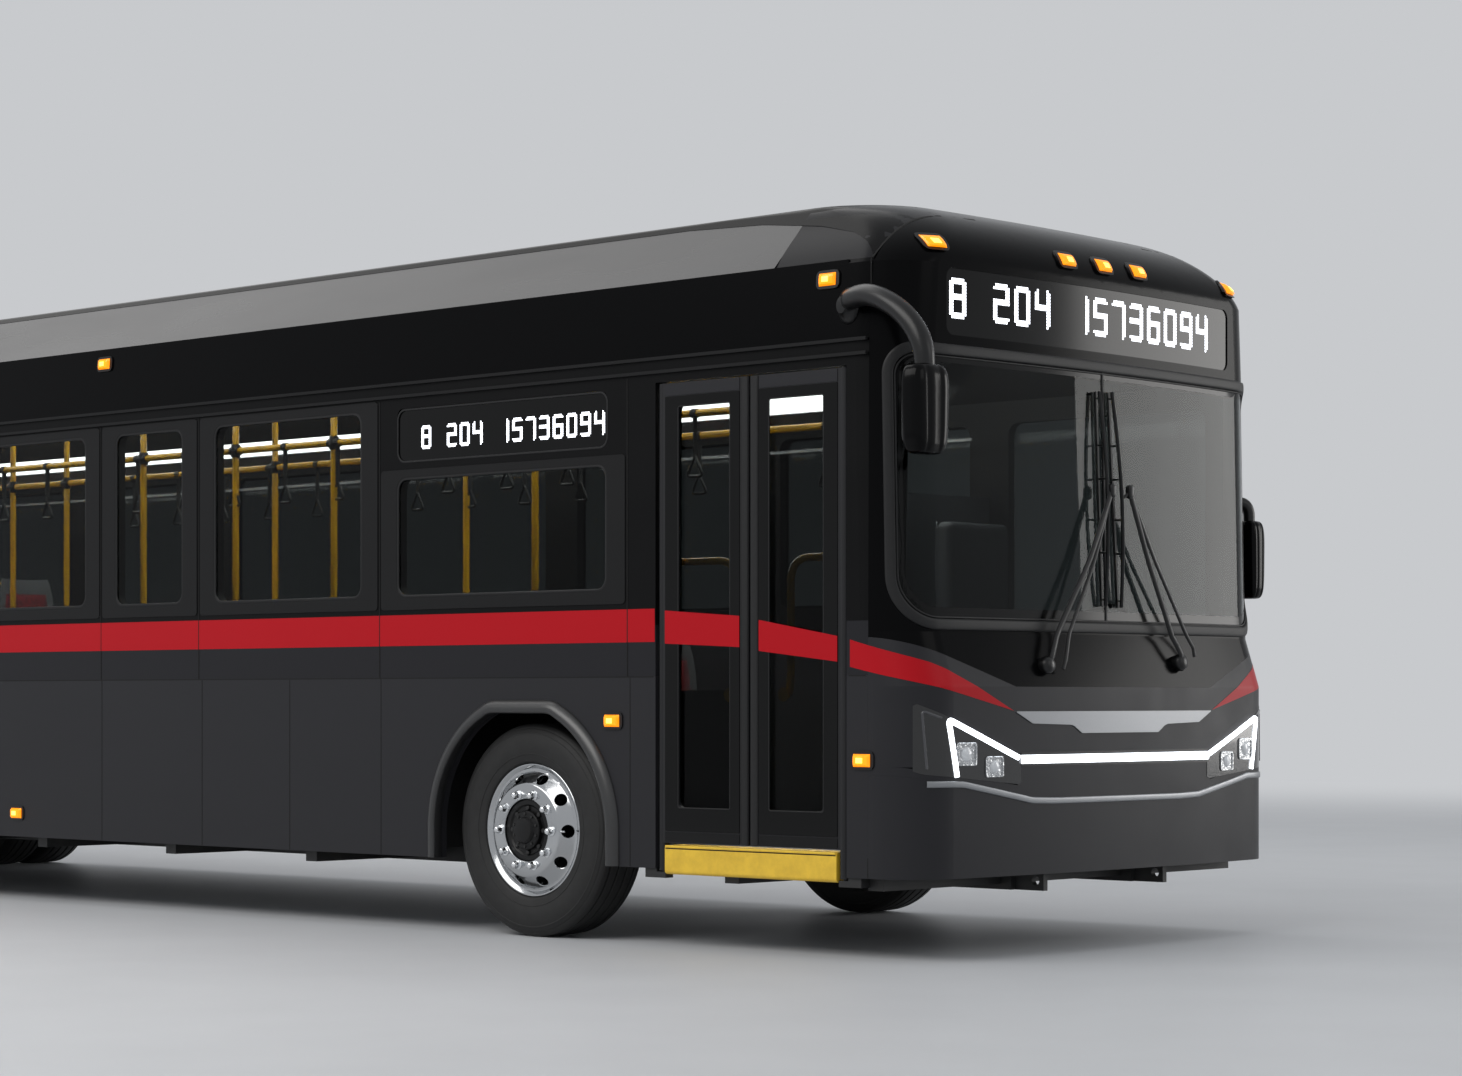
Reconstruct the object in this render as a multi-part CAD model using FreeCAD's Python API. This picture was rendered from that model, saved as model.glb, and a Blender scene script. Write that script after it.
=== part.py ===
"""Low-floor city bus with a 12.4 m body: panels, glazing, doors, axles, wheels and cabin as separate pieces.

Frame: X forward, Y to the driver's (left) side, Z up, origin on the ground under the middle of the overall box.
Sizes are millimetres.  Positions along the body are given from the front axle, and at() shifts them.
"""
import FreeCAD
import Part
import math
import os

V = FreeCAD.Vector

# Body
body_length = 12400.0        # front of the bumper to back of the rear bumper
body_width = 2590.0
wheelbase = 7100.0
front_overhang = 2345.0
mirror_lead = 150.0          # how far the door-side mirror reaches ahead of the bumper
mirror_reach = 250.0         # how far each mirror reaches out from the side
wall = 60.0                  # side wall, outer skin to inner lining
skirt_z = 340.0              # lower edge of the skirts
belt_z = 1162.0              # seam between skirt and window wall
rail_z = 2520.0              # drip rail, where the roof starts
cove_z = 2858.0              # crease between the upright cove and the roof
cove_lean = 22.0             # how far the cove leans in at its crease
shoulder_z = 3135.0          # top edge of the sloped fairing
shoulder_inset = 275.0       # its distance in from the side
crown_z = 3160.0             # top of the front dome
crown_inset = 395.0
roof_z = 3000.0              # roof panel under the equipment, on the centre line
roof_thick = 50.0
fairing_thick = 30.0
drip_proud = 14.0
seat_gap = 0.3               # clearance of a seated piece on its seat

# Front end
cap_back = 2028.0            # seam between body and front cap
dome_back = 1500.0           # back edge of the dome over the roof
cap_wall = 50.0
front_radius = 12000.0       # plan curve of the front
corner_radius = 240.0        # its plan corners
dome_reach = 620.0           # length over which the front of the roof curves down
sill_drop = 72.0             # windscreen sill set back from the bumper
header_drop = 96.0           # sign header set back from the bumper
sill_z = 1340.0
header_z = 2842.0
mask_z = 1118.0              # seam between windscreen surround and mask, in the middle
mask_rise = 150.0            # how much that seam climbs to the corners
mask_flat = 700.0            # half width of its level stretch
strip_z = 640.0              # seam between mask and bumper, in the middle
strip_rise = 95.0
strip_flat = 550.0
screen_low = 1398.0
screen_high = 2482.0
screen_edge = 2128.0         # where the windscreen ends on the side
screen_round = 120.0
screen_joint = 8.0           # gap at the centre seam
glass_thick = 8.0
glass_sunk = 5.0             # glass set back from the skin
sign_half = 1010.0           # front sign window
sign_low = 2552.0
sign_high = 2826.0
bar_half = 650.0             # light bar across the mask
bar_low = 803.0
bar_high = 839.0
bar_proud = 7.0
lamp_inner = 690.0           # headlamp window, inner end
lamp_depth = 34.0
projector_radius = 52.0

# Glazing, as bays along the body
window_low = 1538.0
window_high = 2412.0
window_margin = 125.0
window_round = 60.0
side_sign_low = 2165.0
right_bays = [(-958.0, 665.0), (-2315.0, -958.0), (-3118.0, -2315.0), (-4475.0, -3118.0),
              (-7260.0, -5900.0), (-8617.0, -7260.0)]
left_bays = [(-840.0, 665.0), (-2340.0, -840.0), (-3840.0, -2340.0), (-5340.0, -3840.0),
             (-6840.0, -5340.0), (-8340.0, -6840.0)]
driver_window = (780.0, 1930.0)
driver_sill = 1290.0

# Doorways
front_door = (834.0, 1915.0)
rear_door = (-5780.0, -4600.0)
leaf_low = 452.0
leaf_high = 2418.0
door_gap = 6.0
leaf_thick = 40.0
leaf_sunk = 7.0              # leaf set back from the skin
post_radius = 22.0
post_low = 332.0
pin_radius = 9.0
pin_length = 16.0
hinge_stile = 96.0           # hinge axis to the clear pane
free_stile = 52.0
top_rail = 88.0
bottom_rail = 148.0
pane_round = 45.0
pane_thick = 6.0
pane_lap = 12.0              # pane held behind the leaf's frame
step_low = 317.0
step_high = 441.0

# Floor and underframe
floor_z = 432.0
floor_thick = 50.0
deck_z = 900.0               # raised floor over the driven axle
deck_front = -5980.0
bench_front = -9330.0       # engine cover under the rear bench
bench_z = 1395.0
beam_width = 80.0
beam_track = 430.0           # half distance between the long beams
beam_depth = 118.0
cross_pitch = 1150.0
rear_beam_z = 700.0
front_beam_end = 2120.0
tow_reach = 150.0
tow_radius = 20.0

# Wheels
tyre_radius = 479.5
tyre_width = 280.0
tread_width = 226.0
tyre_wall = 22.0
bead_radius = 287.4
bead_half = 104.0
flange_radius = 298.5
rim_half = 118.0
well_radius = 262.0
rim_wall = 12.0
wheel_offset = 159.0         # rim's middle plane to its mounting face
disc_wall = 22.0
tyre_inset = 48.0            # tyre's outer face in from the body side
pilot_radius = 140.5
hand_holes = 10
hand_hole_radius = 26.0
hand_hole_circle = 225.0
hub_radius = 92.0
spindle_radius = 40.0
running_gap = 0.2            # bearing clearance
kingpin_y = 960.0
kingpin_radius = 26.0
boss_radius = 50.0
boss_half = 60.0
brake_radius = 205.0
brake_thick = 45.0
axle_tube_radius = 70.0
pad_z = 368.0               # spring seats on the front beam
bellows_radius = 58.0
bellows_track = 350.0        # rear air springs, half distance across
arch_radius = 560.0          # wheel opening
arch_flat = 1008.0           # its level top
trim_width = 55.0
trim_lap = 6.0               # trim over the edge of the opening
trim_proud = 34.0
trim_bevel = 14.0
house_inner = 480.0          # inner wall of the wheel housings
house_half = 632.0
house_top = 1105.0
house_wall = 22.0
axle_room = 60.0             # room for the driven axle to rise in its opening

# Rear end
rear_radius = 40000.0
rear_corner = 190.0
rear_cap_front = -9720.0
rear_dome_reach = 330.0
bumper_proud = 85.0          # rear bumper beyond the rear skin
bumper_low = 360.0
bumper_high = 600.0
hatch_half = 780.0
hatch_low = 650.0
hatch_high = 1335.0
hatch_wall = 38.0
hinge_out = 17.0             # hatch hinge axis beyond the skin
hinge_radius = 11.0
hinge_pin = 5.0
louvres = 9
tail_radius = 52.0

# Cabin
driver_floor = 720.0
seat_height = 430.0
low_seat_height = 230.0      # pan over the top of a wheel housing
seat_width = 880.0
aisle_half = 330.0
pole_radius = 17.0
wheel_rim_radius = 225.0
column_tilt = 32.0           # steering wheel tilt from level

half_width = body_width / 2
half_length = (body_length + mirror_lead) / 2
front_axle_x = half_length - mirror_lead - front_overhang
inner_y = half_width - wall
rear_skin_x = half_length - bumper_proud


def at(x):
    """Position of a distance measured from the front axle."""
    return front_axle_x + x


def block(x0, x1, y0, y1, z0, z1):
    """Box between two corners."""
    return Part.makeBox(x1 - x0, y1 - y0, z1 - z0, V(x0, y0, z0))


def rod(start, end, radius):
    """Round bar between two points."""
    run = V(*end) - V(*start)
    return Part.makeCylinder(radius, run.Length, V(*start), run)


def face(points):
    """Flat face inside a closed outline."""
    return Part.Face(Part.makePolygon([V(*p) for p in points] + [V(*points[0])]))


def tile(x0, x1, z0, z1, radius, y0, y1):
    """Plate in the X-Z plane with rounded corners, between two Y values."""
    plate = block(x0, x1, min(y0, y1), max(y0, y1), z0, z1)
    corners = [e for e in plate.Edges if abs(e.Vertexes[0].Y - e.Vertexes[-1].Y) > 0.5 * abs(y1 - y0)]
    return plate.makeFillet(radius, corners)


def band(y0, y1, z0, z1, radius, x0, x1):
    """Plate in the Y-Z plane with rounded corners, between two X values."""
    plate = block(x0, x1, y0, y1, z0, z1)
    corners = [e for e in plate.Edges if abs(e.Vertexes[0].X - e.Vertexes[-1].X) > 0.5 * (x1 - x0)]
    return plate.makeFillet(radius, corners)


def cushion(x0, x1, y0, y1, z0, z1, radius):
    """Box with every edge rounded."""
    body = block(x0, x1, y0, y1, z0, z1)
    return body.makeFillet(radius, body.Edges)


def mirrored(shape):
    """The same piece on the other side of the bus."""
    return shape.mirror(V(0, 0, 0), V(0, 1, 0))


def joined(*shapes):
    """One solid from touching ones."""
    return shapes[0].multiFuse(list(shapes[1:])).removeSplitter()


def save(name, *shapes):
    """Writes a node with every solid of the shapes given."""
    solids = [s for shape in shapes for s in shape.Solids]
    for number, solid in enumerate(solids):
        if not solid.isValid() or solid.Volume <= 0:
            print("bad solid", name, number, solid.isValid(), solid.Volume)
    Part.makeCompound(solids).exportStep("parts/%s.step" % name)
    print("%-24s %3d solids %9.2f litres" % (name, len(solids), sum(s.Volume for s in solids) / 1e6))


# Body envelope

def section_half(z, inset):
    """Half width of the body at a height, inset from the skin."""
    outline = [(half_width, skirt_z), (half_width, rail_z), (half_width - cove_lean, cove_z),
               (half_width - shoulder_inset, shoulder_z), (half_width - crown_inset, crown_z)]
    for (w0, z0), (w1, z1) in zip(outline, outline[1:]):
        if z <= z1 + 1e-6:
            return w0 + (w1 - w0) * max(0.0, z - z0) / (z1 - z0) - inset
    return half_width - crown_inset - inset


def plan_wire(x_front, width, corner, radius, back, z):
    """Plan outline at one height: two sides, two corner arcs and a shallow end arc, all tangent."""
    centre = x_front - radius
    corner_y = width - corner
    corner_x = centre + math.sqrt((radius - corner) ** 2 - corner_y ** 2)
    turn = math.asin(corner_y / (radius - corner))
    meet_x = centre + radius * math.cos(turn)
    meet_y = radius * math.sin(turn)
    mid = (math.pi / 2 + turn) / 2
    bend_x = corner_x + corner * math.cos(mid)
    bend_y = corner_y + corner * math.sin(mid)
    right = Part.Arc(V(corner_x, -width, z), V(bend_x, -bend_y, z), V(meet_x, -meet_y, z))
    end = Part.Arc(V(meet_x, -meet_y, z), V(x_front, 0, z), V(meet_x, meet_y, z))
    left = Part.Arc(V(meet_x, meet_y, z), V(bend_x, bend_y, z), V(corner_x, width, z))
    return Part.Wire([Part.makeLine(V(back, -width, z), V(corner_x, -width, z)), right.toShape(), end.toShape(),
                      left.toShape(), Part.makeLine(V(corner_x, width, z), V(back, width, z)),
                      Part.makeLine(V(back, width, z), V(back, -width, z))])


def dome_wires(x_face, corner, radius, reach, low, inset, back):
    """Plan outlines that draw in over a quarter ellipse up to the crown."""
    top = crown_z - inset
    wires = []
    for step in range(7):
        share = math.sin(math.radians(15.0 * step))
        z = low + share * (top - low)
        x = x_face - inset - reach * (1 - math.sqrt(max(0.0, 1 - share ** 2)))
        wires.append(plan_wire(x, section_half(z, inset), corner - inset + 90.0 * share, radius, back, z))
    return wires


def front_volume(inset):
    """Solid volume of the front end, inset from its skin."""
    nose = at(front_overhang)
    back = at(dome_back) - 900.0
    levels = [(0.0, skirt_z - 40.0), (0.0, mask_z), (sill_drop, sill_z), (header_drop, rail_z), (header_drop, header_z)]
    wires = [plan_wire(nose - drop - inset, section_half(z, inset), corner_radius - inset, front_radius, back, z)
             for drop, z in levels]
    sides = Part.makeLoft(wires, True, True)
    dome = Part.makeLoft(dome_wires(nose - header_drop, corner_radius, front_radius, dome_reach, header_z, inset, back),
                         True, False)
    return sides.fuse(dome)


def rear_volume(inset):
    """Solid volume of the rear end, built facing forward and turned round."""
    back = -at(rear_cap_front) - 900.0
    heights = [skirt_z, rail_z, cove_z]
    wires = [plan_wire(rear_skin_x - inset, section_half(z, inset), rear_corner - inset, rear_radius, back, z)
             for z in heights]
    sides = Part.makeLoft(wires, True, True)
    dome = Part.makeLoft(dome_wires(rear_skin_x, rear_corner, rear_radius, rear_dome_reach, cove_z, inset, back),
                         True, False)
    return sides.fuse(dome).mirror(V(0, 0, 0), V(1, 0, 0))


def nose_x(y, z):
    """Skin of the front at a place seen from ahead, between the corners."""
    levels = [(0.0, skirt_z), (0.0, mask_z), (sill_drop, sill_z), (header_drop, rail_z), (header_drop, header_z)]
    drop = header_drop
    for (d0, z0), (d1, z1) in zip(levels, levels[1:]):
        if z0 <= z <= z1:
            drop = d0 + (d1 - d0) * (z - z0) / (z1 - z0)
    return at(front_overhang) - drop - front_radius + math.sqrt(front_radius ** 2 - y ** 2)


def below_seam(level, rise, flat):
    """Space under a seam that is level in the middle of the front and climbs to both corners."""
    far = half_width + 100
    climb = rise * (far - flat) / (half_width - 150.0 - flat)
    outline = [(at(cap_back) - 900, -far, -100), (at(cap_back) - 900, far, -100),
               (at(cap_back) - 900, far, level + climb), (at(cap_back) - 900, flat, level),
               (at(cap_back) - 900, -flat, level), (at(cap_back) - 900, -far, level + climb)]
    return face(outline).extrude(V(2000, 0, 0))


def front_end():
    """Surround, mask and bumper cut from one shell, with windscreen, sign, lamps and light bar."""
    nose = at(front_overhang) + 200
    outer = front_volume(0.0)
    shell = outer.cut(front_volume(cap_wall))
    low = block(at(cap_back), nose, -1500, 1500, skirt_z, cove_z + seat_gap)
    high = block(at(dome_back), nose, -1500, 1500, cove_z + seat_gap, crown_z + 10)
    shell = shell.common(low.fuse(high))
    screen = tile(at(screen_edge), nose + 400, screen_low, screen_high, screen_round, -1500, 1500)
    sign = band(-sign_half, sign_half, sign_low, sign_high, 40.0, at(cap_back), nose)
    mask_under = below_seam(mask_z, mask_rise, mask_flat)
    strip_under = below_seam(strip_z, strip_rise, strip_flat)
    surround = shell.cut(mask_under).cut(screen).cut(sign)
    mask_part = shell.common(below_seam(mask_z - seat_gap, mask_rise, mask_flat)).cut(strip_under)
    bumper = shell.common(below_seam(strip_z - seat_gap, strip_rise, strip_flat))

    lamp_outline = [(lamp_inner, 712.0), (half_width - 150, 770.0), (half_width + 20, 800.0),
                    (half_width + 20, 1050.0), (half_width - 110, 1030.0), (half_width - 230, 930.0), (lamp_inner, 828.0)]
    lamp_face = face([(at(cap_back) + 60, y, z) for y, z in lamp_outline])
    lamp_hole = lamp_face.extrude(V(600, 0, 0))
    lamp_fit = lamp_face.makeOffset2D(-seat_gap).extrude(V(600, 0, 0))
    mask_part = mask_part.cut(lamp_hole).cut(mirrored(lamp_hole))
    lamp_shell = front_volume(6.0).cut(front_volume(lamp_depth)).common(lamp_fit)
    projectors = []
    for y, z in ((865.0, 795.0), (1040.0, 840.0)):
        x = nose_x(y, z)
        projectors.append(rod((x - 24, y, z), (x + 1, y, z), projector_radius))
    lamp = lamp_shell
    for projector in projectors:
        lamp = lamp.fuse(projector)
    bar = band(-bar_half, bar_half, bar_low, bar_high, 15.0, at(cap_back), nose)
    bar_part = front_volume(-bar_proud).cut(front_volume(-seat_gap)).common(bar)
    save("front_surround", surround)
    save("front_mask", mask_part)
    save("front_bumper", bumper)
    save("headlamps", lamp, mirrored(lamp), bar_part)

    glass = front_volume(glass_sunk).cut(front_volume(glass_sunk + glass_thick))
    fit = tile(at(screen_edge) + seat_gap, nose + 400, screen_low + seat_gap, screen_high - seat_gap, screen_round,
               -1500, 1500)
    seam = block(at(cap_back), nose, -screen_joint / 2, screen_joint / 2, screen_low - 50, screen_high + 50)
    save("windscreen", glass.common(fit).cut(seam))
    front_sign = glass.common(band(-sign_half + seat_gap, sign_half - seat_gap, sign_low + seat_gap,
                                   sign_high - seat_gap, 40.0, at(cap_back), nose))
    x0, x1 = right_bays[0]
    side_sign = tile(at(x0) + window_margin + seat_gap, at(x1) - window_margin - seat_gap, side_sign_low + seat_gap,
                     window_high - seat_gap, 35.0, -half_width + glass_sunk, -half_width + glass_sunk + glass_thick)
    save("destination_signs", front_sign, side_sign)


def bay_window(x0, x1, low, high, gap, y0, y1, radius=window_round):
    """Pane or opening inside one bay."""
    return tile(at(x0) + window_margin + gap, at(x1) - window_margin - gap, low + gap, high - gap, radius, y0, y1)


def beyond_cap():
    """Space outside the front's skin beside the seam, where the walls and the roof follow its curve."""
    run = block(at(cap_back) - 120, at(cap_back) + 10, -1400, 1400, skirt_z - 10, cove_z + 10)
    return run.cut(front_volume(0.0))


def side_walls():
    """Window walls and skirts of both sides, with their panes."""
    back = at(rear_cap_front) + seat_gap
    front = at(cap_back) - seat_gap
    right_wall = block(back, front, -half_width, -inner_y, belt_z + seat_gap, rail_z)
    left_wall = mirrored(right_wall)
    right_skirt = block(back, front, -half_width, -inner_y, skirt_z, belt_z)
    left_skirt = mirrored(right_skirt)
    for x0, x1 in (front_door, rear_door):
        doorway = block(at(x0), at(x1), -1400, -1100, 0, leaf_high + door_gap)
        right_wall = right_wall.cut(doorway)
        for x in (x0 + door_gap + post_radius, x1 - door_gap - post_radius):
            right_wall = right_wall.cut(pivot_bore(x, leaf_high, leaf_high + door_gap + pin_length + 2))
        right_skirt = right_skirt.cut(doorway)
    for axle in (0.0, -wheelbase):
        opening = arch(axle, arch_radius, arch_flat, -1600, 1600)
        right_skirt = right_skirt.cut(opening)
        left_skirt = left_skirt.cut(opening)
    panes = []
    outside = half_width - glass_sunk
    inside = outside - glass_thick
    for number, (x0, x1) in enumerate(right_bays):
        high = window_high
        if number == 0:
            high = side_sign_low - 75.0
            right_wall = right_wall.cut(bay_window(x0, x1, side_sign_low, window_high, 0, -1400, -1100, 35.0))
        right_wall = right_wall.cut(bay_window(x0, x1, window_low, high, 0, -1400, -1100))
        panes.append(bay_window(x0, x1, window_low, high, seat_gap, -outside, -inside))
    for x0, x1 in left_bays:
        left_wall = left_wall.cut(bay_window(x0, x1, window_low, window_high, 0, 1100, 1400))
        panes.append(bay_window(x0, x1, window_low, window_high, seat_gap, inside, outside))
    x0, x1 = driver_window
    left_wall = left_wall.cut(tile(at(x0), at(x1), driver_sill, window_high, window_round, 1100, 1400))
    panes.append(tile(at(x0) + seat_gap, at(x1) - seat_gap, driver_sill + seat_gap, window_high - seat_gap,
                      window_round, inside, outside))
    curve = beyond_cap()
    save("right_wall", right_wall.cut(curve))
    save("left_wall", left_wall.cut(curve))
    save("right_skirts", right_skirt)
    save("left_skirts", left_skirt)
    save("side_windows", *panes)


def arch_wire(axle, radius, top, y):
    """Outline of a wheel opening: upright legs, round shoulders and a level top."""
    x = at(axle)
    half_flat = math.sqrt(radius ** 2 - (top - tyre_radius) ** 2)
    low = skirt_z - 20.0
    turn = math.atan2(top - tyre_radius, half_flat) / 2
    bend_x = radius * math.cos(turn)
    bend_z = tyre_radius + radius * math.sin(turn)
    return Part.Wire([
        Part.makeLine(V(x + radius, y, low), V(x + radius, y, tyre_radius)),
        Part.Arc(V(x + radius, y, tyre_radius), V(x + bend_x, y, bend_z), V(x + half_flat, y, top)).toShape(),
        Part.makeLine(V(x + half_flat, y, top), V(x - half_flat, y, top)),
        Part.Arc(V(x - half_flat, y, top), V(x - bend_x, y, bend_z), V(x - radius, y, tyre_radius)).toShape(),
        Part.makeLine(V(x - radius, y, tyre_radius), V(x - radius, y, low)),
        Part.makeLine(V(x - radius, y, low), V(x + radius, y, low))])


def arch(axle, radius, top, y0, y1):
    """Wheel opening as a solid, between two Y values."""
    return Part.Face(arch_wire(axle, radius, top, y0)).extrude(V(0, y1 - y0, 0))


def arch_trims():
    """Rubber lips round the four wheel openings."""
    trims = []
    for axle in (0.0, -wheelbase):
        y0 = half_width + seat_gap
        wide = trim_width
        slim = trim_width - trim_bevel
        outer = Part.makeLoft([arch_wire(axle, arch_radius + wide, arch_flat + wide, y0),
                               arch_wire(axle, arch_radius + wide, arch_flat + wide, y0 + trim_proud - trim_bevel),
                               arch_wire(axle, arch_radius + slim, arch_flat + slim, y0 + trim_proud)], True, True)
        lip = outer.cut(arch(axle, arch_radius - trim_lap, arch_flat - trim_lap, 0, 1600))
        lip = lip.cut(block(at(axle) - 900, at(axle) + 900, 1200, 1500, 0, skirt_z))
        trims += [lip, mirrored(lip)]
    save("wheel_arch_trims", *trims)


def roof():
    """Cove and roof panel, sloped fairings and the equipment between them."""
    back = at(rear_cap_front) + seat_gap
    front = at(cap_back) - seat_gap
    run = V(front - back, 0, 0)
    side = half_width - cove_lean
    top = [(half_width, rail_z + seat_gap), (side, cove_z), (side - 75, cove_z), (side - 150, cove_z + 70),
           (side - 380, roof_z - 28), (0, roof_z)]
    under = [(0, roof_z - roof_thick), (side - 390, roof_z - roof_thick - 30), (side - 200, cove_z + 10),
             (inner_y - cove_lean, cove_z - 90), (inner_y, rail_z + seat_gap)]
    outline = top + under
    half = face([(back, y, z) for y, z in outline]).extrude(run)
    shell = joined(half, mirrored(half)).cut(beyond_cap())
    save("roof_shell", shell)

    seat = cove_z + seat_gap
    rise = shoulder_z - seat
    lean = shoulder_inset - cove_lean
    fairing_back = at(rear_cap_front) + seat_gap
    fairing_front = at(dome_back) - seat_gap
    plate = face([(fairing_back, side - 1, seat), (fairing_back, side - lean, shoulder_z),
                  (fairing_back, side - lean - fairing_thick, shoulder_z),
                  (fairing_back, side - lean - fairing_thick, shoulder_z - 20),
                  (fairing_back, side - fairing_thick - 8, seat)])
    fairing = plate.extrude(V(fairing_front - fairing_back, 0, 0))
    save("roof_fairings", fairing, mirrored(fairing))
    units = []
    for x0, x1, half_y, high in ((-8900.0, -6400.0, 800.0, 3130.0), (-5900.0, -3500.0, 700.0, 3105.0),
                                 (-3100.0, -700.0, 700.0, 3105.0)):
        unit = block(at(x0), at(x1), -half_y, half_y, roof_z + seat_gap, high)
        units.append(unit.makeChamfer(30.0, [e for e in unit.Edges if e.BoundBox.ZMin > high - 1]))
    save("roof_units", *units)

    rails = []
    for z in (rail_z - 51.0, rail_z + 7.0):
        rail = block(back, front, half_width + seat_gap, half_width + drip_proud, z - 7, z + 7)
        rails += [rail, mirrored(rail)]
    save("drip_rails", *rails)


def tow_eye():
    """Centre of the front towing eyes, seen from the side."""
    return at(front_beam_end) + tow_reach - 42.0, floor_z - floor_thick - seat_gap - beam_depth + 42.0


def floor_and_frame():
    """Low floor, raised deck, wheel housings and the beams beneath."""
    edge = inner_y - seat_gap
    low = block(at(deck_front), at(2240.0), -edge, edge, floor_z - floor_thick, floor_z)
    low = low.common(front_volume(cap_wall + seat_gap).fuse(block(at(deck_front) - 10, at(1500.0), -1500, 1500, 0, 2000)))
    riser = block(at(deck_front) - 30, at(deck_front), -edge, edge, floor_z - floor_thick, deck_z)
    deck = block(at(bench_front), at(deck_front), -edge, edge, deck_z - floor_thick, deck_z)
    cover = block(at(bench_front) - 40, at(bench_front), -edge, edge, deck_z - floor_thick, bench_z)
    bench = block(-half_length, at(bench_front), -edge, edge, bench_z - 40, bench_z)
    bench = bench.common(rear_volume(wall + seat_gap).fuse(block(at(rear_cap_front), at(deck_front), -1400, 1400, 0, 3000)))
    floor_part = joined(low, riser, deck, cover, bench)
    houses = []
    for axle in (0.0, -wheelbase):
        x0 = at(axle) - house_half
        x1 = at(axle) + house_half
        floor_part = floor_part.cut(block(x0, x1, house_inner, 1500, 0, 2000))
        floor_part = floor_part.cut(block(x0, x1, -1500, -house_inner, 0, 2000))
        base = floor_z - floor_thick
        tub = block(x0 + seat_gap, x1 - seat_gap, house_inner + seat_gap, edge, base, house_top)
        hollow = block(x0 + house_wall, x1 - house_wall, house_inner + house_wall, 1500, 0, house_top - house_wall)
        tub = tub.cut(hollow)
        if axle < 0:
            slot = axle_tube_radius + axle_room
            tub = tub.cut(block(at(axle) - slot, at(axle) + slot, house_inner - 5, house_inner + house_wall + 5,
                                base - 5, tyre_radius + slot))
        houses += [tub, mirrored(tub)]
    save("floor", floor_part)
    save("wheel_housings", *houses)

    top = floor_z - floor_thick - seat_gap
    pieces = []
    for x0, x1 in ((330.0, front_beam_end), (-6000.0, -330.0)):
        beams = []
        for side in (-1, 1):
            y = side * beam_track
            beams.append(block(at(x0), at(x1), y - beam_width / 2, y + beam_width / 2, top - beam_depth, top))
            if x0 > 0:
                lug = block(at(x1) - 10, at(x1) + tow_reach, y - 14, y + 14, top - beam_depth, top - 32)
                eye_x, eye_z = tow_eye()
                beams.append(lug.cut(rod((eye_x, y - 20, eye_z), (eye_x, y + 20, eye_z), tow_radius)))
        count = int((x1 - x0 - 200) / cross_pitch) + 1
        pitch = (x1 - x0 - 200) / max(1, count)
        for number in range(count + 1):
            x = at(x0 + 60 + number * pitch)
            reach = edge if abs(x - at(0)) > house_half + 60 else house_inner
            if abs(x - at(-wheelbase)) < house_half + 120:
                reach = house_inner
            beams.append(block(x, x + 80, -reach, reach, top - beam_depth * 0.8, top))
        pieces.append(joined(*beams))
    high = deck_z - floor_thick - seat_gap
    beams = []
    for side in (-1, 1):
        y = side * beam_track
        beams.append(block(at(rear_cap_front) + 2, at(-6030.0), y - beam_width / 2, y + beam_width / 2, rear_beam_z, high))
    for x in (-6120.0, -7140.0, -8000.0, -8900.0, -9700.0):
        beams.append(block(at(x), at(x) + 80, -beam_track, beam_track, rear_beam_z + 20, high))
    pieces.append(joined(*beams))
    save("underframe", *pieces, *pivot_brackets())


# Wheels: profiles are (radius, offset outward) and are turned about the wheel's axle

def turned(profile, axle, y):
    """Solid of revolution about a wheel's axle; a positive offset points to the driver's side."""
    outline = face([(at(axle), y + u, tyre_radius + r) for r, u in profile])
    return outline.revolve(V(at(axle), y, tyre_radius), V(0, 1, 0), 360)


def rim_profile(out):
    """Drop-centre rim with its disc on the outer side."""
    well = well_radius - rim_wall
    seat = bead_radius - 0.4
    points = [(flange_radius, rim_half), (flange_radius, rim_half - 7), (seat, bead_half), (seat - 3, 62), (well_radius, 42),
              (well_radius, -42), (seat - 3, -62), (seat, -bead_half), (flange_radius, -rim_half + 7),
              (flange_radius, -rim_half), (flange_radius - 9, -rim_half), (seat - 13, -bead_half), (well + 22, -70),
              (well, -48), (well, 72), (well - 22, wheel_offset - 31), (well - 42, wheel_offset - disc_wall),
              (pilot_radius, wheel_offset - disc_wall), (pilot_radius, wheel_offset), (well - 36, wheel_offset),
              (well - 10, wheel_offset - 11), (well + 20, bead_half - 4), (seat - 13, bead_half),
              (flange_radius - 9, rim_half)]
    return [(r, out * u) for r, u in points]


def tyre_profile():
    """Tyre section, open towards the rim."""
    half = tyre_width / 2
    tread = tread_width / 2
    outer = [(bead_radius, bead_half - 14), (bead_radius, bead_half - 1), (flange_radius + 1, rim_half - 8),
             (flange_radius + 4, rim_half + 2), (385.0, half), (455.0, half - 10), (tyre_radius, tread)]
    inner = [(tyre_radius - tyre_wall, tread - 12), (385.0, half - 16), (bead_radius + 16, bead_half - 16)]
    return (outer + [(r, -u) for r, u in reversed(outer)] + [(r, -u) for r, u in reversed(inner)] + inner)


def rim(axle, y, out):
    """Aluminium rim with round hand holes."""
    body = turned(rim_profile(out), axle, y)
    holes = []
    for number in range(hand_holes):
        turn = 2 * math.pi * (number + 0.5) / hand_holes
        x = at(axle) + hand_hole_circle * math.cos(turn)
        z = tyre_radius + hand_hole_circle * math.sin(turn)
        holes.append(rod((x, y + out * 76, z), (x, y + out * 180, z), hand_hole_radius))
    return body.cut(Part.makeCompound(holes))


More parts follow.
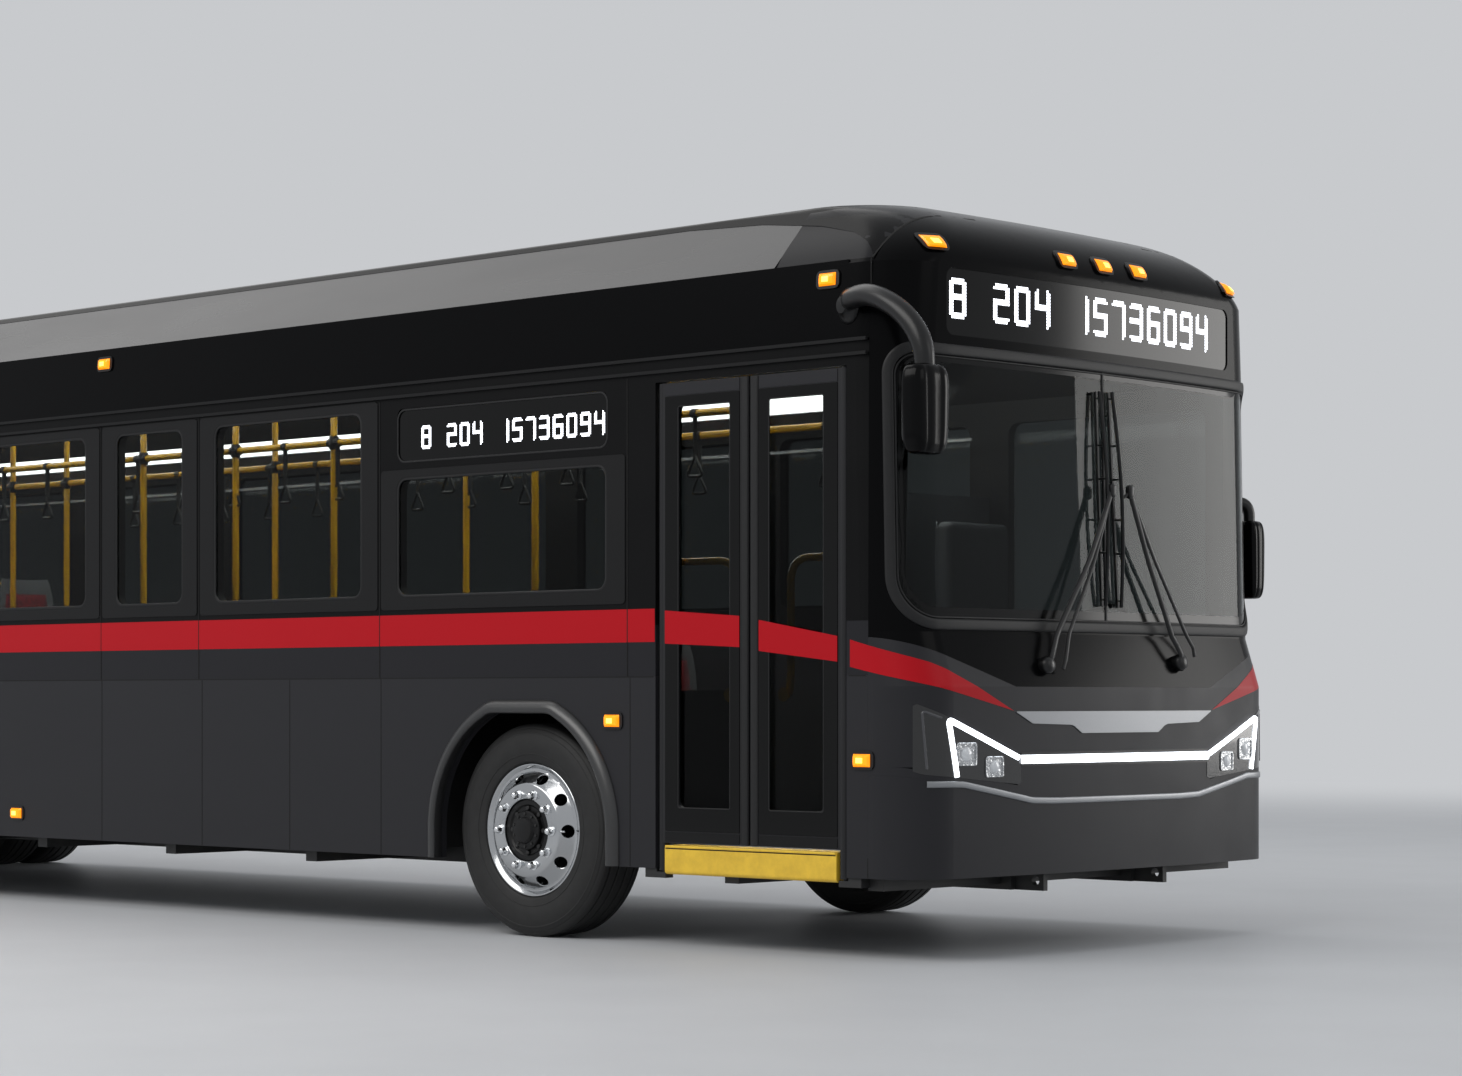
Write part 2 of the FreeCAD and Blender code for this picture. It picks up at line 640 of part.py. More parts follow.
def hub(axle, spindle_end, flange_y, brake_y):
    """Hub turning on the spindle: barrel, wheel flange, pilot, end cap and brake rotor."""
    inner = spindle_radius + running_gap
    profile = [(inner, brake_y), (brake_radius, brake_y), (brake_radius, brake_y + brake_thick),
               (hub_radius, brake_y + brake_thick), (hub_radius, flange_y - 24), (205.0, flange_y - 24),
               (205.0, flange_y - seat_gap), (pilot_radius - seat_gap, flange_y - seat_gap),
               (pilot_radius - seat_gap, flange_y + 26), (112.0, flange_y + 30), (105.0, flange_y + 70),
               (88.0, flange_y + 84), (0.0, flange_y + 86), (0.0, spindle_end + 4), (inner, spindle_end + 4)]
    outline = face([(at(axle), u, tyre_radius + r) for r, u in profile])
    return outline.revolve(V(at(axle), 0, tyre_radius), V(0, 1, 0), 360)


def wheels():
    """Single wheels in front, twin wheels behind, each side its own pieces."""
    outer_y = half_width - tyre_inset - tyre_width / 2
    profile = tyre_profile()
    tyre = turned(profile, 0.0, outer_y)
    wheel = rim(0.0, outer_y, 1)
    flange_y = outer_y + wheel_offset - disc_wall
    front_hub = hub(0.0, flange_y + 40, flange_y, 1056.0)
    for side, flip in (("left", False), ("right", True)):
        turn = mirrored if flip else (lambda shape: shape)
        save("tyre_front_%s" % side, turn(tyre))
        save("rim_front_%s" % side, turn(wheel))
        save("hub_front_%s" % side, turn(front_hub))

    face_y = outer_y - wheel_offset
    inner_wheel_y = face_y - seat_gap - wheel_offset
    twin_tyres = [turned(profile, -wheelbase, outer_y), turned(profile, -wheelbase, inner_wheel_y)]
    twin_rims = [rim(-wheelbase, outer_y, -1), rim(-wheelbase, inner_wheel_y, 1)]
    mount_y = face_y - seat_gap - disc_wall
    rear_hub = hub(-wheelbase, mount_y + 90, mount_y, 700.0)
    for side, flip in (("left", False), ("right", True)):
        turn = mirrored if flip else (lambda shape: shape)
        save("tyres_rear_%s" % side, *[turn(t) for t in twin_tyres])
        save("rims_rear_%s" % side, *[turn(t) for t in twin_rims])
        save("hub_rear_%s" % side, turn(rear_hub))
    return flange_y, mount_y


def axles(flange_y, mount_y):
    """Dropped front beam with steered knuckles, and the driven rear axle."""
    x = at(0)
    outline = [(0, pad_z - 78), (650, pad_z - 78), (790, pad_z), (kingpin_y - 80, tyre_radius - boss_half),
               (kingpin_y, tyre_radius - boss_half), (kingpin_y, tyre_radius + boss_half),
               (kingpin_y - 30, tyre_radius + boss_half), (760, 470), (650, pad_z), (0, pad_z)]
    half = face([(x - 46, y, z) for y, z in outline]).extrude(V(92, 0, 0))
    pads = [block(x - 80, x + 80, 505, 640, pad_z - 60, pad_z)]
    boss = rod((x, kingpin_y, tyre_radius - boss_half), (x, kingpin_y, tyre_radius + boss_half), boss_radius)
    bore = rod((x, kingpin_y, tyre_radius - 200), (x, kingpin_y, tyre_radius + 200), kingpin_radius + running_gap)
    half = joined(half, boss, *pads).cut(bore)
    beam = joined(half, mirrored(half))
    springs = []
    wall_y = house_inner + house_wall + seat_gap
    spring = rod((x, wall_y + bellows_radius + 4, pad_z + seat_gap), (x, wall_y + bellows_radius + 4, 720.0), bellows_radius)
    tower = block(x - 60, x + 60, wall_y, wall_y + bellows_radius + 40, 719.0, 745.0)
    spring = joined(spring, tower)
    springs = [spring, mirrored(spring)]
    save("front_axle", beam)

    pin = rod((x, kingpin_y, tyre_radius - 105), (x, kingpin_y, tyre_radius + 105), kingpin_radius)
    ear_gap = 5.0
    upper = block(x - 52, x + 52, kingpin_y - 40, kingpin_y + 88, tyre_radius + boss_half + ear_gap, tyre_radius + 102)
    lower = block(x - 52, x + 52, kingpin_y - 40, kingpin_y + 88, tyre_radius - 102, tyre_radius - boss_half - ear_gap)
    yoke = block(x - 52, x + 52, kingpin_y + boss_radius + 6, kingpin_y + 88, tyre_radius - 102, tyre_radius + 102)
    spindle = rod((x, kingpin_y + 70, tyre_radius), (x, flange_y + 36, tyre_radius), spindle_radius)
    steer_arm = block(x - 210, x - 40, kingpin_y - 40, kingpin_y - 8, tyre_radius - 102, tyre_radius - 74)
    knuckle = joined(pin, upper, lower, yoke, spindle, steer_arm)
    save("knuckle_left", knuckle)
    save("knuckle_right", mirrored(knuckle))

    x = at(-wheelbase)
    tube = rod((x, 0, tyre_radius), (x, 640.0, tyre_radius), axle_tube_radius)
    end = rod((x, 600.0, tyre_radius), (x, mount_y + 84, tyre_radius), spindle_radius)
    bowl = Part.makeSphere(180.0, V(x, 0, tyre_radius))
    nose = rod((x, 0, tyre_radius), (x - 330, 0, tyre_radius), 85.0)
    housing = joined(tube, end, mirrored(tube), mirrored(end), bowl, nose)
    save("rear_axle", housing)
    bags = []
    top = tyre_radius + 110
    for side in (-1, 1):
        y = side * bellows_track
        for dx in (-250.0, 250.0):
            bags.append(rod((x + dx, y, top + seat_gap), (x + dx, y, rear_beam_z - seat_gap), 92.0))
        arm = block(x - 300, x + 300, y - 35, y + 35, tyre_radius + 71, top)
        saddle = block(x - 60, x + 60, y - 35, y + 35, tyre_radius + axle_tube_radius - 12, tyre_radius + 75)
        saddle = saddle.cut(rod((x, -700, tyre_radius), (x, 700, tyre_radius), axle_tube_radius + seat_gap))
        bags.append(joined(arm, saddle))
    save("air_springs", *bags, *springs)


def pivot_bore(x, low, high):
    """Bearing bore of a door post."""
    mid_y = -(half_width - leaf_sunk - leaf_thick / 2)
    return rod((at(x), mid_y, low), (at(x), mid_y, high), pin_radius + running_gap)


def pivot_brackets():
    """Lower bearings of the door posts, hung under the edge of the skirt."""
    brackets = []
    for x0, x1 in (front_door, rear_door):
        for edge, way in ((x0, 1), (x1, -1)):
            post = edge + way * (door_gap + post_radius)
            xs = sorted((at(edge) - way * 70, at(edge) - way * 2))
            ear = block(xs[0], xs[1], -half_width + 10, -inner_y - 2, post_low - 2 * pin_length, skirt_z - seat_gap)
            xs = sorted((at(edge) - way * 3, at(post) + way * post_radius))
            shelf = block(xs[0], xs[1], -half_width + 10, -inner_y - 2, post_low - 2 * pin_length, post_low - door_gap)
            brackets.append(joined(ear, shelf).cut(pivot_bore(post, post_low - pin_length - 2, post_low)))
    return brackets


def door_leaf(hinge, free, low, high):
    """One leaf: round hinge post, frame and pane; hinge and free are along the body."""
    way = 1 if free > hinge else -1
    mid_y = -(half_width - leaf_sunk - leaf_thick / 2)
    x_hinge = at(hinge)
    x_free = at(free)
    y0 = mid_y - leaf_thick / 2
    y1 = mid_y + leaf_thick / 2
    plate = block(min(x_hinge, x_free), max(x_hinge, x_free), y0, y1, low, high)
    post = rod((x_hinge, mid_y, post_low), (x_hinge, mid_y, high), post_radius)
    pins = rod((x_hinge, mid_y, post_low - pin_length), (x_hinge, mid_y, high + door_gap + pin_length), pin_radius)
    clear = sorted((x_hinge + way * hinge_stile, x_free - way * free_stile))
    hole = tile(clear[0], clear[1], low + bottom_rail, high - top_rail, pane_round, y0 - 5, y1 + 5)
    rebate = tile(clear[0] - pane_lap, clear[1] + pane_lap, low + bottom_rail - pane_lap, high - top_rail + pane_lap,
                  pane_round + pane_lap, mid_y - pane_thick / 2 - seat_gap, y1 + 5)
    pane = tile(clear[0] - pane_lap + seat_gap, clear[1] + pane_lap - seat_gap, low + bottom_rail - pane_lap + seat_gap,
                high - top_rail + pane_lap - seat_gap, pane_round + pane_lap, mid_y - pane_thick / 2, mid_y + pane_thick / 2)
    return joined(plate, post, pins).cut(hole).cut(rebate), pane


def doors():
    """Two double doors whose leaves swing outwards on their outer posts, and the step edges."""
    steps = []
    for name, (x0, x1) in (("front_door", front_door), ("rear_door", rear_door)):
        middle = (x0 + x1) / 2
        inset = door_gap + post_radius
        rear_leaf, rear_pane = door_leaf(x0 + inset, middle - door_gap / 2 - 2, leaf_low, leaf_high)
        front_leaf, front_pane = door_leaf(x1 - inset, middle + door_gap / 2 + 2, leaf_low, leaf_high)
        save(name + "_leaf_back", rear_leaf)
        save(name + "_pane_back", rear_pane)
        save(name + "_leaf_front", front_leaf)
        save(name + "_pane_front", front_pane)
        edge = block(at(x0) + 52, at(x1) - 58, -half_width + 4, -inner_y, step_low, step_high)
        long_edges = [e for e in edge.Edges if e.BoundBox.YMax < -half_width + 5 and e.BoundBox.XLength > 100]
        edge = edge.makeFillet(16.0, long_edges)
        tread = block(at(x0) + 52, at(x1) - 58, -inner_y - 20, -inner_y + 60, floor_z + seat_gap, step_high)
        steps.append(joined(edge, tread))
    save("door_steps", *steps)


def rear_end():
    """Rear cap with its hatch opening, hatch with louvres on two hinges, bumper, lamps and engine."""
    outer = rear_volume(0.0)
    seam = at(rear_cap_front)
    skin = -rear_skin_x
    shell = outer.cut(rear_volume(wall)).common(block(skin - 50, seam, -1500, 1500, skirt_z, crown_z + 5))
    hole = block(skin - 50, skin + 400, -hatch_half, hatch_half, hatch_low, hatch_high)
    cap = shell.cut(hole)
    axis_x = skin - hinge_out
    axis_z = hatch_high + 14.0
    barrels = []
    lugs = []
    for y in (-520.0, 520.0):
        barrels.append(rod((axis_x, y - 40, axis_z), (axis_x, y + 40, axis_z), hinge_radius))
        barrels.append(block(axis_x - 5, skin - 5, y - 40, y + 40, hatch_high - 60, axis_z - 4))
        barrels.append(block(axis_x - 5, skin + 20, y - 40, y + 40, hatch_high - 60, hatch_high - door_gap - 2))
        lugs.append(rod((axis_x, y - 66, axis_z), (axis_x, y + 66, axis_z), hinge_pin))
        for y0 in (y - 66, y + 44):
            lugs.append(rod((axis_x, y0, axis_z), (axis_x, y0 + 22, axis_z), hinge_radius))
            lugs.append(block(axis_x, skin + 20, y0, y0 + 22, axis_z - 8, axis_z + 11))
    cap = joined(cap, *lugs)
    door = outer.cut(rear_volume(hatch_wall)).common(
        block(skin - 50, skin + 400, -hatch_half + door_gap, hatch_half - door_gap, hatch_low + door_gap,
              hatch_high - door_gap))
    vents = []
    pitch = (hatch_high - hatch_low - 260) / louvres
    for number in range(louvres):
        z = hatch_low + 120 + number * pitch
        vent = block(skin - 60, skin + 140, -620, 620, z, z + pitch * 0.42)
        vent.rotate(V(skin, 0, z), V(0, 1, 0), -22)
        vents.append(vent)
    door = door.cut(Part.makeCompound(vents))
    pins = [rod((axis_x, y - 60, axis_z), (axis_x, y + 60, axis_z), hinge_pin + running_gap) for y in (-520.0, 520.0)]
    door = joined(door, *barrels).cut(Part.makeCompound(pins))
    save("engine_door", door)
    save("rear_cap", cap)

    face_x = -half_length
    bumper = plan_bumper(0.0).cut(plan_bumper(70.0))
    bumper = bumper.common(block(face_x - 10, at(rear_cap_front) + 200, -1500, 1500, bumper_low, bumper_high))
    bumper = bumper.cut(rear_volume(-seat_gap))
    save("rear_bumper", bumper)

    lamps = []
    for side in (-1, 1):
        for z in (1010.0, 1150.0, 1290.0):
            y = side * (half_width - 260.0)
            lamps.append(rod((skin + 60, y, z), (skin - 4, y, z), tail_radius).cut(rear_volume(-seat_gap)))
    save("tail_lamps", *lamps)
    engine = block(at(-9640.0), at(-8450.0), -420, 420, 420.0, rear_beam_z - 10)
    feet = [block(at(x), at(x) + 160, -beam_track - beam_width / 2, beam_track + beam_width / 2, rear_beam_z - 60,
                  rear_beam_z - seat_gap) for x in (-9600.0, -8700.0)]
    engine = engine.makeFillet(20.0, [e for e in engine.Edges if e.BoundBox.ZMax < 430])
    save("engine_block", joined(engine, *feet))


def plan_bumper(inset):
    """Bumper outline, proud of the rear skin and flush with the sides."""
    wires = [plan_wire(half_length - inset, half_width - inset, rear_corner - inset * 0.5, rear_radius,
                       -at(rear_cap_front) - 500, z) for z in (bumper_low - 5, bumper_high + 5)]
    return Part.makeLoft(wires, True, True).mirror(V(0, 0, 0), V(1, 0, 0))


def small_outside():
    """Marker lamps, mirrors and wipers."""
    lamps = []
    for y, z in ((0.0, 2925.0), (-250.0, 2925.0), (250.0, 2925.0), (-1090.0, 2922.0), (1090.0, 2922.0)):
        lamp = block(at(front_overhang) - 400, at(front_overhang), y - 42, y + 42, z - 16, z + 16)
        lamps.append(lamp.common(front_volume(-14.0)).cut(front_volume(-seat_gap)).cut(
            block(at(0), at(front_overhang) - 340, -1500, 1500, 2800, 3100)))
    for x, z in ((576.0, 972.0), (2001.0, 818.0), (-3853.0, 464.0)):
        pair = block(at(x) - 38, at(x) + 38, half_width + seat_gap, half_width + 14, z - 20, z + 20)
        lamps += [mirrored(pair)] if x == 2001.0 else [pair, mirrored(pair)]
    for x, z in ((-3103.0, 2781.0), (1805.0, 2784.0)):
        lean = cove_lean * (z - rail_z) / (cove_z - rail_z)
        pair = block(at(x) - 42, at(x) + 42, half_width - lean + seat_gap + 1.0, half_width - lean + 16, z - 15, z + 15)
        lamps += [pair, mirrored(pair)]
    save("marker_lamps", *lamps)

    reach = half_width + mirror_reach
    front = half_length
    head = cushion(front - 105, front, -reach, -reach + 240, 2030, 2390, 38.0)
    base = rod((at(1920.0), -half_width + 30.0, 2640.0), (at(1920.0), -half_width - 28, 2640.0), 46.0)
    knee = (at(2140.0), -half_width - 120, 2690.0)
    drop = (front - 52, -reach + 120, 2640.0)
    arm = [rod((at(1920.0), -half_width - 14, 2640.0), knee, 17.0), Part.makeSphere(17.0, V(*knee)), rod(knee, drop, 17.0),
           Part.makeSphere(17.0, V(*drop)), rod(drop, (front - 52, -reach + 120, 2350.0), 17.0)]
    near = joined(base, head, *arm).cut(front_volume(-seat_gap))
    low_head = cushion(at(1920.0), at(2010.0), reach - 200, reach, 1530, 1900, 38.0)
    low_base = rod((at(1985.0), half_width - 20, 1980.0), (at(1985.0), half_width + 30, 1980.0), 34.0)
    elbow = (at(1965.0), reach - 100, 2000.0)
    low_arm = [rod((at(1985.0), half_width + 14, 1980.0), elbow, 15.0), Part.makeSphere(15.0, V(*elbow)),
               rod(elbow, (at(1965.0), reach - 100, 1870.0), 15.0)]
    far = joined(low_base, low_head, *low_arm).cut(front_volume(-seat_gap))
    save("mirrors", near, far)

    sets = []
    for y0, y1 in ((-550.0, -95.0), (600.0, 110.0)):
        start = (nose_x(y0, 1228.0) + 26, y0, 1228.0)
        tip = (nose_x(y1, 1930.0) + 34, y1, 1930.0)
        second = (nose_x(y0, 1228.0) + 26, y0 + (90 if y0 < 0 else -90), 1205.0)
        tip_two = (nose_x(y1, 1890.0) + 34, y1 + (60 if y0 < 0 else -60), 1890.0)
        blade_top = (nose_x(y1, 2360.0) + 16, y1, 2360.0)
        blade_low = (nose_x(y1, 1480.0) + 16, y1, 1480.0)
        base_one = rod((nose_x(y0, 1228.0) + 6, y0, 1228.0), (start[0] + 8, y0, 1228.0), 24.0)
        base_two = rod((nose_x(y0, 1228.0) + 6, second[1], 1205.0), (start[0] + 8, second[1], 1205.0), 18.0)
        plate = block(start[0] - 16, start[0] - 8, min(y0, second[1]) - 20, max(y0, second[1]) + 20, 1190, 1245)
        carrier = block(tip[0] - 30, tip[0] + 6, min(y1, tip_two[1]) - 12, max(y1, tip_two[1]) + 12, 1875, 1945)
        sets.append(joined(base_one, base_two, plate, rod(start, tip, 8.0), rod(second, tip_two, 7.0), carrier,
                           rod(blade_low, blade_top, 8.0)).cut(front_volume(-seat_gap)))
    save("wipers", *sets)


def seat_pair(x, y, base, rise=seat_height):
    """Two joined passenger seats facing forward on one pedestal; rise is the pan's height over its base."""
    pan = cushion(at(x) - 262, at(x) + 220, y - seat_width / 2, y + seat_width / 2, base + rise - 60, base + rise, 20.0)
    back = cushion(at(x) - 290, at(x) - 225, y - seat_width / 2, y + seat_width / 2, base + rise - 20,
                   base + rise + 520, 22.0)
    leg = block(at(x) - 120, at(x) + 120, y - 70, y + 70, base + seat_gap, base + rise - 40)
    return joined(pan, back, leg)


def cabin():
    """Seats, stanchions, ceiling, and the driver's place."""
    seats = []
    y = inner_y - 20 - seat_width / 2
    for x in (-1050.0, -1850.0, -2650.0, -3450.0):
        seats += [seat_pair(x, -y, floor_z), seat_pair(x, y, floor_z)]
    for x in (-4250.0, -5050.0):
        seats.append(seat_pair(x, y, floor_z))
    for x in (-6800.0, -7450.0):
        seats += [seat_pair(x, -y, house_top, low_seat_height), seat_pair(x, y, house_top, low_seat_height)]
    for x in (-8150.0, -8850.0):
        seats += [seat_pair(x, -y, deck_z), seat_pair(x, y, deck_z)]
    bench_back = at(bench_front) - 500
    bench_pan = cushion(bench_back, at(bench_front) - 20, -1150, 1150, bench_z + seat_gap, bench_z + 75, 20.0)
    bench_rest = cushion(bench_back - 60, bench_back + 20, -1150, 1150, bench_z + seat_gap, bench_z + 600, 20.0)
    seats.append(joined(bench_pan, bench_rest))
    save("passenger_seats", *seats)

    low = roof_z - roof_thick - 260
    panel = block(at(-9600.0), at(1450.0), aisle_half + 60, aisle_half + 420, low + 120, low + 150)
    hanger = []
    for x in (-9000.0, -6000.0, -3000.0, 0.0, 1300.0):
        hanger.append(block(at(x), at(x) + 60, aisle_half + 200, aisle_half + 240, low + 140, roof_z - 90))
    lights = joined(panel, *hanger).cut(roof_space())
    save("ceiling_lights", lights, mirrored(lights))

    rails = []
    for side in (-1, 1):
        y = side * (aisle_half + 130)
        parts = [rod((at(-9300.0), y, 1950.0), (at(600.0), y, 1950.0), pole_radius)]
        for x, base in ((560.0, floor_z), (-780.0, floor_z), (-2270.0, floor_z), (-3070.0, floor_z), (-3870.0, floor_z),
                        (-5860.0, floor_z), (-6420.0, deck_z), (-7820.0, deck_z), (-9260.0, deck_z)):
            parts.append(rod((at(x), y, base + seat_gap), (at(x), y, low + 120 - seat_gap), pole_radius))
        rails.append(joined(*parts))
    save("grab_rails", *rails)

    platform = block(at(house_half) + 2, at(1750.0), 380, inner_y - seat_gap, floor_z + seat_gap, driver_floor)
    wall_panel = block(at(house_half) + 2, at(house_half) + 32, 380, inner_y - seat_gap, driver_floor - 2, 2050)
    dash = face([(at(1750.0), 120, floor_z + seat_gap), (at(2150.0), 120, floor_z + seat_gap),
                 (at(2150.0), 120, 1230), (at(1900.0), 120, 1290), (at(1690.0), 120, 1180), (at(1750.0), 120, 1050)])
    dash = dash.extrude(V(0, inner_y - seat_gap - 120, 0)).common(front_volume(cap_wall + 2))
    pan = cushion(at(950.0), at(1420.0), 530, 1010, 1080, 1170, 30.0)
    back = cushion(at(880.0), at(975.0), 540, 1000, 1130, 1900, 35.0)
    stand = rod((at(1180.0), 770, driver_floor - 2), (at(1180.0), 770, 1090.0), 110.0)
    centre, axis = column()
    column_start = centre - axis * (24 + seat_gap)
    foot = rod(tuple(column_start), tuple(column_start - axis * 330), 34.0)
    ledge = block(at(2060.0), at(2180.0), -1180, 100, floor_z + seat_gap, 1180).common(front_volume(cap_wall + 2))
    station = joined(platform, wall_panel, dash, pan, back, stand, foot)
    save("driver_station", station, ledge)

    ring = Part.makeTorus(wheel_rim_radius, 16.0, centre, axis)
    boss = Part.makeCylinder(50.0, 44.0, centre - axis * 24, axis)
    spokes = []
    across = axis.cross(V(0, 1, 0)).normalize()
    for turn in (90.0, 210.0, 330.0):
        way = across * math.cos(math.radians(turn)) + V(0, 1, 0) * math.sin(math.radians(turn))
        spokes.append(Part.makeCylinder(11.0, wheel_rim_radius, centre, way))
    save("steering_wheel", joined(ring, boss, *spokes))


def column():
    """Centre of the steering wheel and the way its column points up."""
    tilt = math.radians(column_tilt)
    return V(at(1560.0), 770.0, 1370.0), V(-math.sin(tilt), 0, math.cos(tilt))


def roof_space():
    """Space taken by the roof panel, used to trim what hangs from it."""
    side = half_width - cove_lean
    outline = [(0, roof_z - roof_thick - seat_gap), (side - 390, roof_z - roof_thick - 30 - seat_gap),
               (side - 200, cove_z + 10 - seat_gap), (side - 200, crown_z), (0, crown_z)]
    return face([(at(-9900.0), y, z) for y, z in outline]).extrude(V(12500, 0, 0))


if __name__ == "__main__":
    os.makedirs("parts", exist_ok=True)
    front_end()
    side_walls()
    arch_trims()
    roof()
    floor_and_frame()
    flange, mount = wheels()
    axles(flange, mount)
    doors()
    rear_end()
    small_outside()
    cabin()
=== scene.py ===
import math

import bmesh
import bpy
import numpy as np
from bpy.props import FloatProperty, FloatVectorProperty, PointerProperty, StringProperty
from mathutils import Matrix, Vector


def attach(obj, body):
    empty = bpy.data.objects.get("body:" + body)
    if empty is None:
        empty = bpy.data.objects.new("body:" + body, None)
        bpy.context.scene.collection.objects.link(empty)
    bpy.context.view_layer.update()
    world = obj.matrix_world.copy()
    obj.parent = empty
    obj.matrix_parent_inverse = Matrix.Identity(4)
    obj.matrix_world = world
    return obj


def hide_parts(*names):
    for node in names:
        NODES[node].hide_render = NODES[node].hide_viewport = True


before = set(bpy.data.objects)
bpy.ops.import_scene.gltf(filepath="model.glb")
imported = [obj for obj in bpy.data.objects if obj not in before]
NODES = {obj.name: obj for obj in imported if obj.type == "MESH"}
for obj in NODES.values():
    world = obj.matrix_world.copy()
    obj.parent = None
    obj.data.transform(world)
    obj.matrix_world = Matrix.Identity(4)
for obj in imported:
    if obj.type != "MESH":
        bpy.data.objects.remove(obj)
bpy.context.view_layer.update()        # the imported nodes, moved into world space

bl_info = {
    "name": "Low-floor city bus",
    "version": (1, 0, 0),
    "blender": (4, 5, 0),
    "location": "3D View > Sidebar > City bus",
    "description": "Builds the paint, glazing, lamps, wheels and cabin of a city bus round its packed frame",
    "category": "Add Mesh",
}

TAU = 2 * math.pi

# Places and sizes of the solids, in metres; distances along the bus are from the front axle
FRONT_AXLE = 3.780
REAR_AXLE = -7.100
FRONT_FACE = 2.345
REAR_SKIN = 6.190
HALF_WIDTH = 1.295
SKIRT, BELT, RAIL, COVE, CROWN = 0.340, 1.162, 2.520, 2.858, 3.160
COVE_LEAN, CROWN_INSET, SHOULDER, SHOULDER_INSET = 0.022, 0.395, 3.135, 0.275
HEADER = 2.842
CAP_BACK, REAR_SEAM = 2.028, -9.720
FRONT_RADIUS, CORNER = 12.0, 0.240
REAR_RADIUS, REAR_CORNER = 40.0, 0.190
HUB_Z, TYRE_RADIUS = 0.4795, 0.4795
WHEEL_Y, WHEEL_OFFSET, DISC = 1.107, 0.159, 0.022
NUTS, NUT_CIRCLE = 10, 0.164
RIGHT_BAYS = [(-0.958, 0.665), (-2.315, -0.958), (-3.118, -2.315), (-4.475, -3.118), (-7.260, -5.900),
              (-8.617, -7.260)]
LEFT_BAYS = [(-0.840, 0.665), (-2.340, -0.840), (-3.840, -2.340), (-5.340, -3.840), (-6.840, -5.340),
             (-8.340, -6.840)]
WINDOW_LOW, WINDOW_HIGH, WINDOW_MARGIN, WINDOW_ROUND = 1.538, 2.412, 0.125, 0.060
FRAME_LOW, FRAME_HIGH, FRAME_INSET = 1.478, 2.455, 0.012
SIGN_BAY_WINDOW_HIGH, SIGN_BAY_FRAME_HIGH = 2.090, 2.128
DOORS = {"front_door": (0.834, 1.915), "rear_door": (-5.780, -4.600)}
LEAF_SUNK, LEAF_THICK, STEP_EDGE = 0.007, 0.040, 0.4275
STRIPE_LOW, STRIPE_HIGH, STRIPE_GAP, STRIPE_TURN, STRIPE_TIP = 1.312, 1.455, 0.004, 1.934, 0.717
MASK_Z, SILL_Z, SILL_DROP, FRONT_LEAN, DOME = 1.118, 1.340, 0.072, 0.096, 0.620
NOSE_TOP = [(STRIPE_TIP, 1.019), (1.095, 1.189), (1.168, 1.217), (1.495, 1.309)]
NOSE_BOTTOM = [(STRIPE_TIP, 1.019), (1.168, 1.118), (1.531, 1.198)]
DOOR_TOP = [(0.885, 1.446), (1.316, 1.416), (1.424, 1.398), (1.859, 1.325), (STRIPE_TURN, 1.309)]
DOOR_BOTTOM = [(0.885, 1.304), (1.316, 1.285), (1.424, 1.268), (1.859, 1.220), (STRIPE_TURN, 1.198)]
SIGN_SUNK, FRONT_SIGN_START, SIDE_SIGN_START = 0.0038, (-0.984, 2.627), (-0.668, 2.222)
FLOOR, DECK, HOUSING_TOP = 0.432, 0.900, 1.105
WALL_THICK, SEAT_GAP, PAIR_HALF, SEAT_HEIGHT, HOUSING_SEAT_HEIGHT = 0.060, 0.020, 0.440, 0.430, 0.230
RAIL_Y, RAIL_HEIGHT, POLE_RADIUS, POLE_TOP = 0.460, 2.380, 0.0175, 2.808
POLES = [(0.56, FLOOR), (-0.78, FLOOR), (-2.27, FLOOR), (-3.07, FLOOR), (-3.87, FLOOR), (-5.86, FLOOR),
         (-6.42, DECK), (-7.82, DECK), (-9.26, DECK)]
MIRROR_ARM = [(1.920, -1.300, 2.665), (1.985, -1.345, 2.690), (2.140, -1.400, 2.690), (2.330, -1.430, 2.600),
              (2.430, -1.430, 2.470), (2.440, -1.430, 2.330)]
STREET_ARM = [(1.985, 1.290, 1.980), (1.985, 1.395, 1.990), (2.030, 1.450, 1.970), (2.030, 1.450, 1.860)]
KERB_MIRROR, STREET_MIRROR = (2.430, -1.430, 2.206), (2.030, 1.450, 1.715)


def at(x):
    """Place along the bus of a distance measured from the front axle."""
    return FRONT_AXLE + x


FRONT_WHEEL = (at(0), WHEEL_Y, HUB_Z)


def srgb(code):
    """An sRGB hex colour such as #1A2B3C as linear red, green, blue and a full alpha."""
    value = np.array([int(code[i:i + 2], 16) for i in (1, 3, 5)]) / 255.0
    linear = np.where(value <= 0.04045, value / 12.92, ((value + 0.055) / 1.055) ** 2.4)
    return (*linear.tolist(), 1.0)


# Materials

def add(tree, kind, inputs=None, **settings):
    """Adds a node with its settings; each input takes a value, or a link when it is given a socket."""
    made = tree.nodes.new(kind)
    for key, value in settings.items():
        setattr(made, key, value)
    for key, value in (inputs or {}).items():
        if isinstance(value, bpy.types.NodeSocket):
            tree.links.new(value, made.inputs[key])
        else:
            made.inputs[key].default_value = value
    return made


def tint(code):
    """A linear colour: from an sRGB hex text, or the user's colour of that name."""
    if code.startswith("#"):
        return srgb(code)
    return tuple(getattr(bpy.context.scene.city_bus_paint, code))


def blank(name):
    """A new material with an empty node tree."""
    made = bpy.data.materials.new(name)
    made.use_nodes = True
    made.node_tree.nodes.clear()
    return made


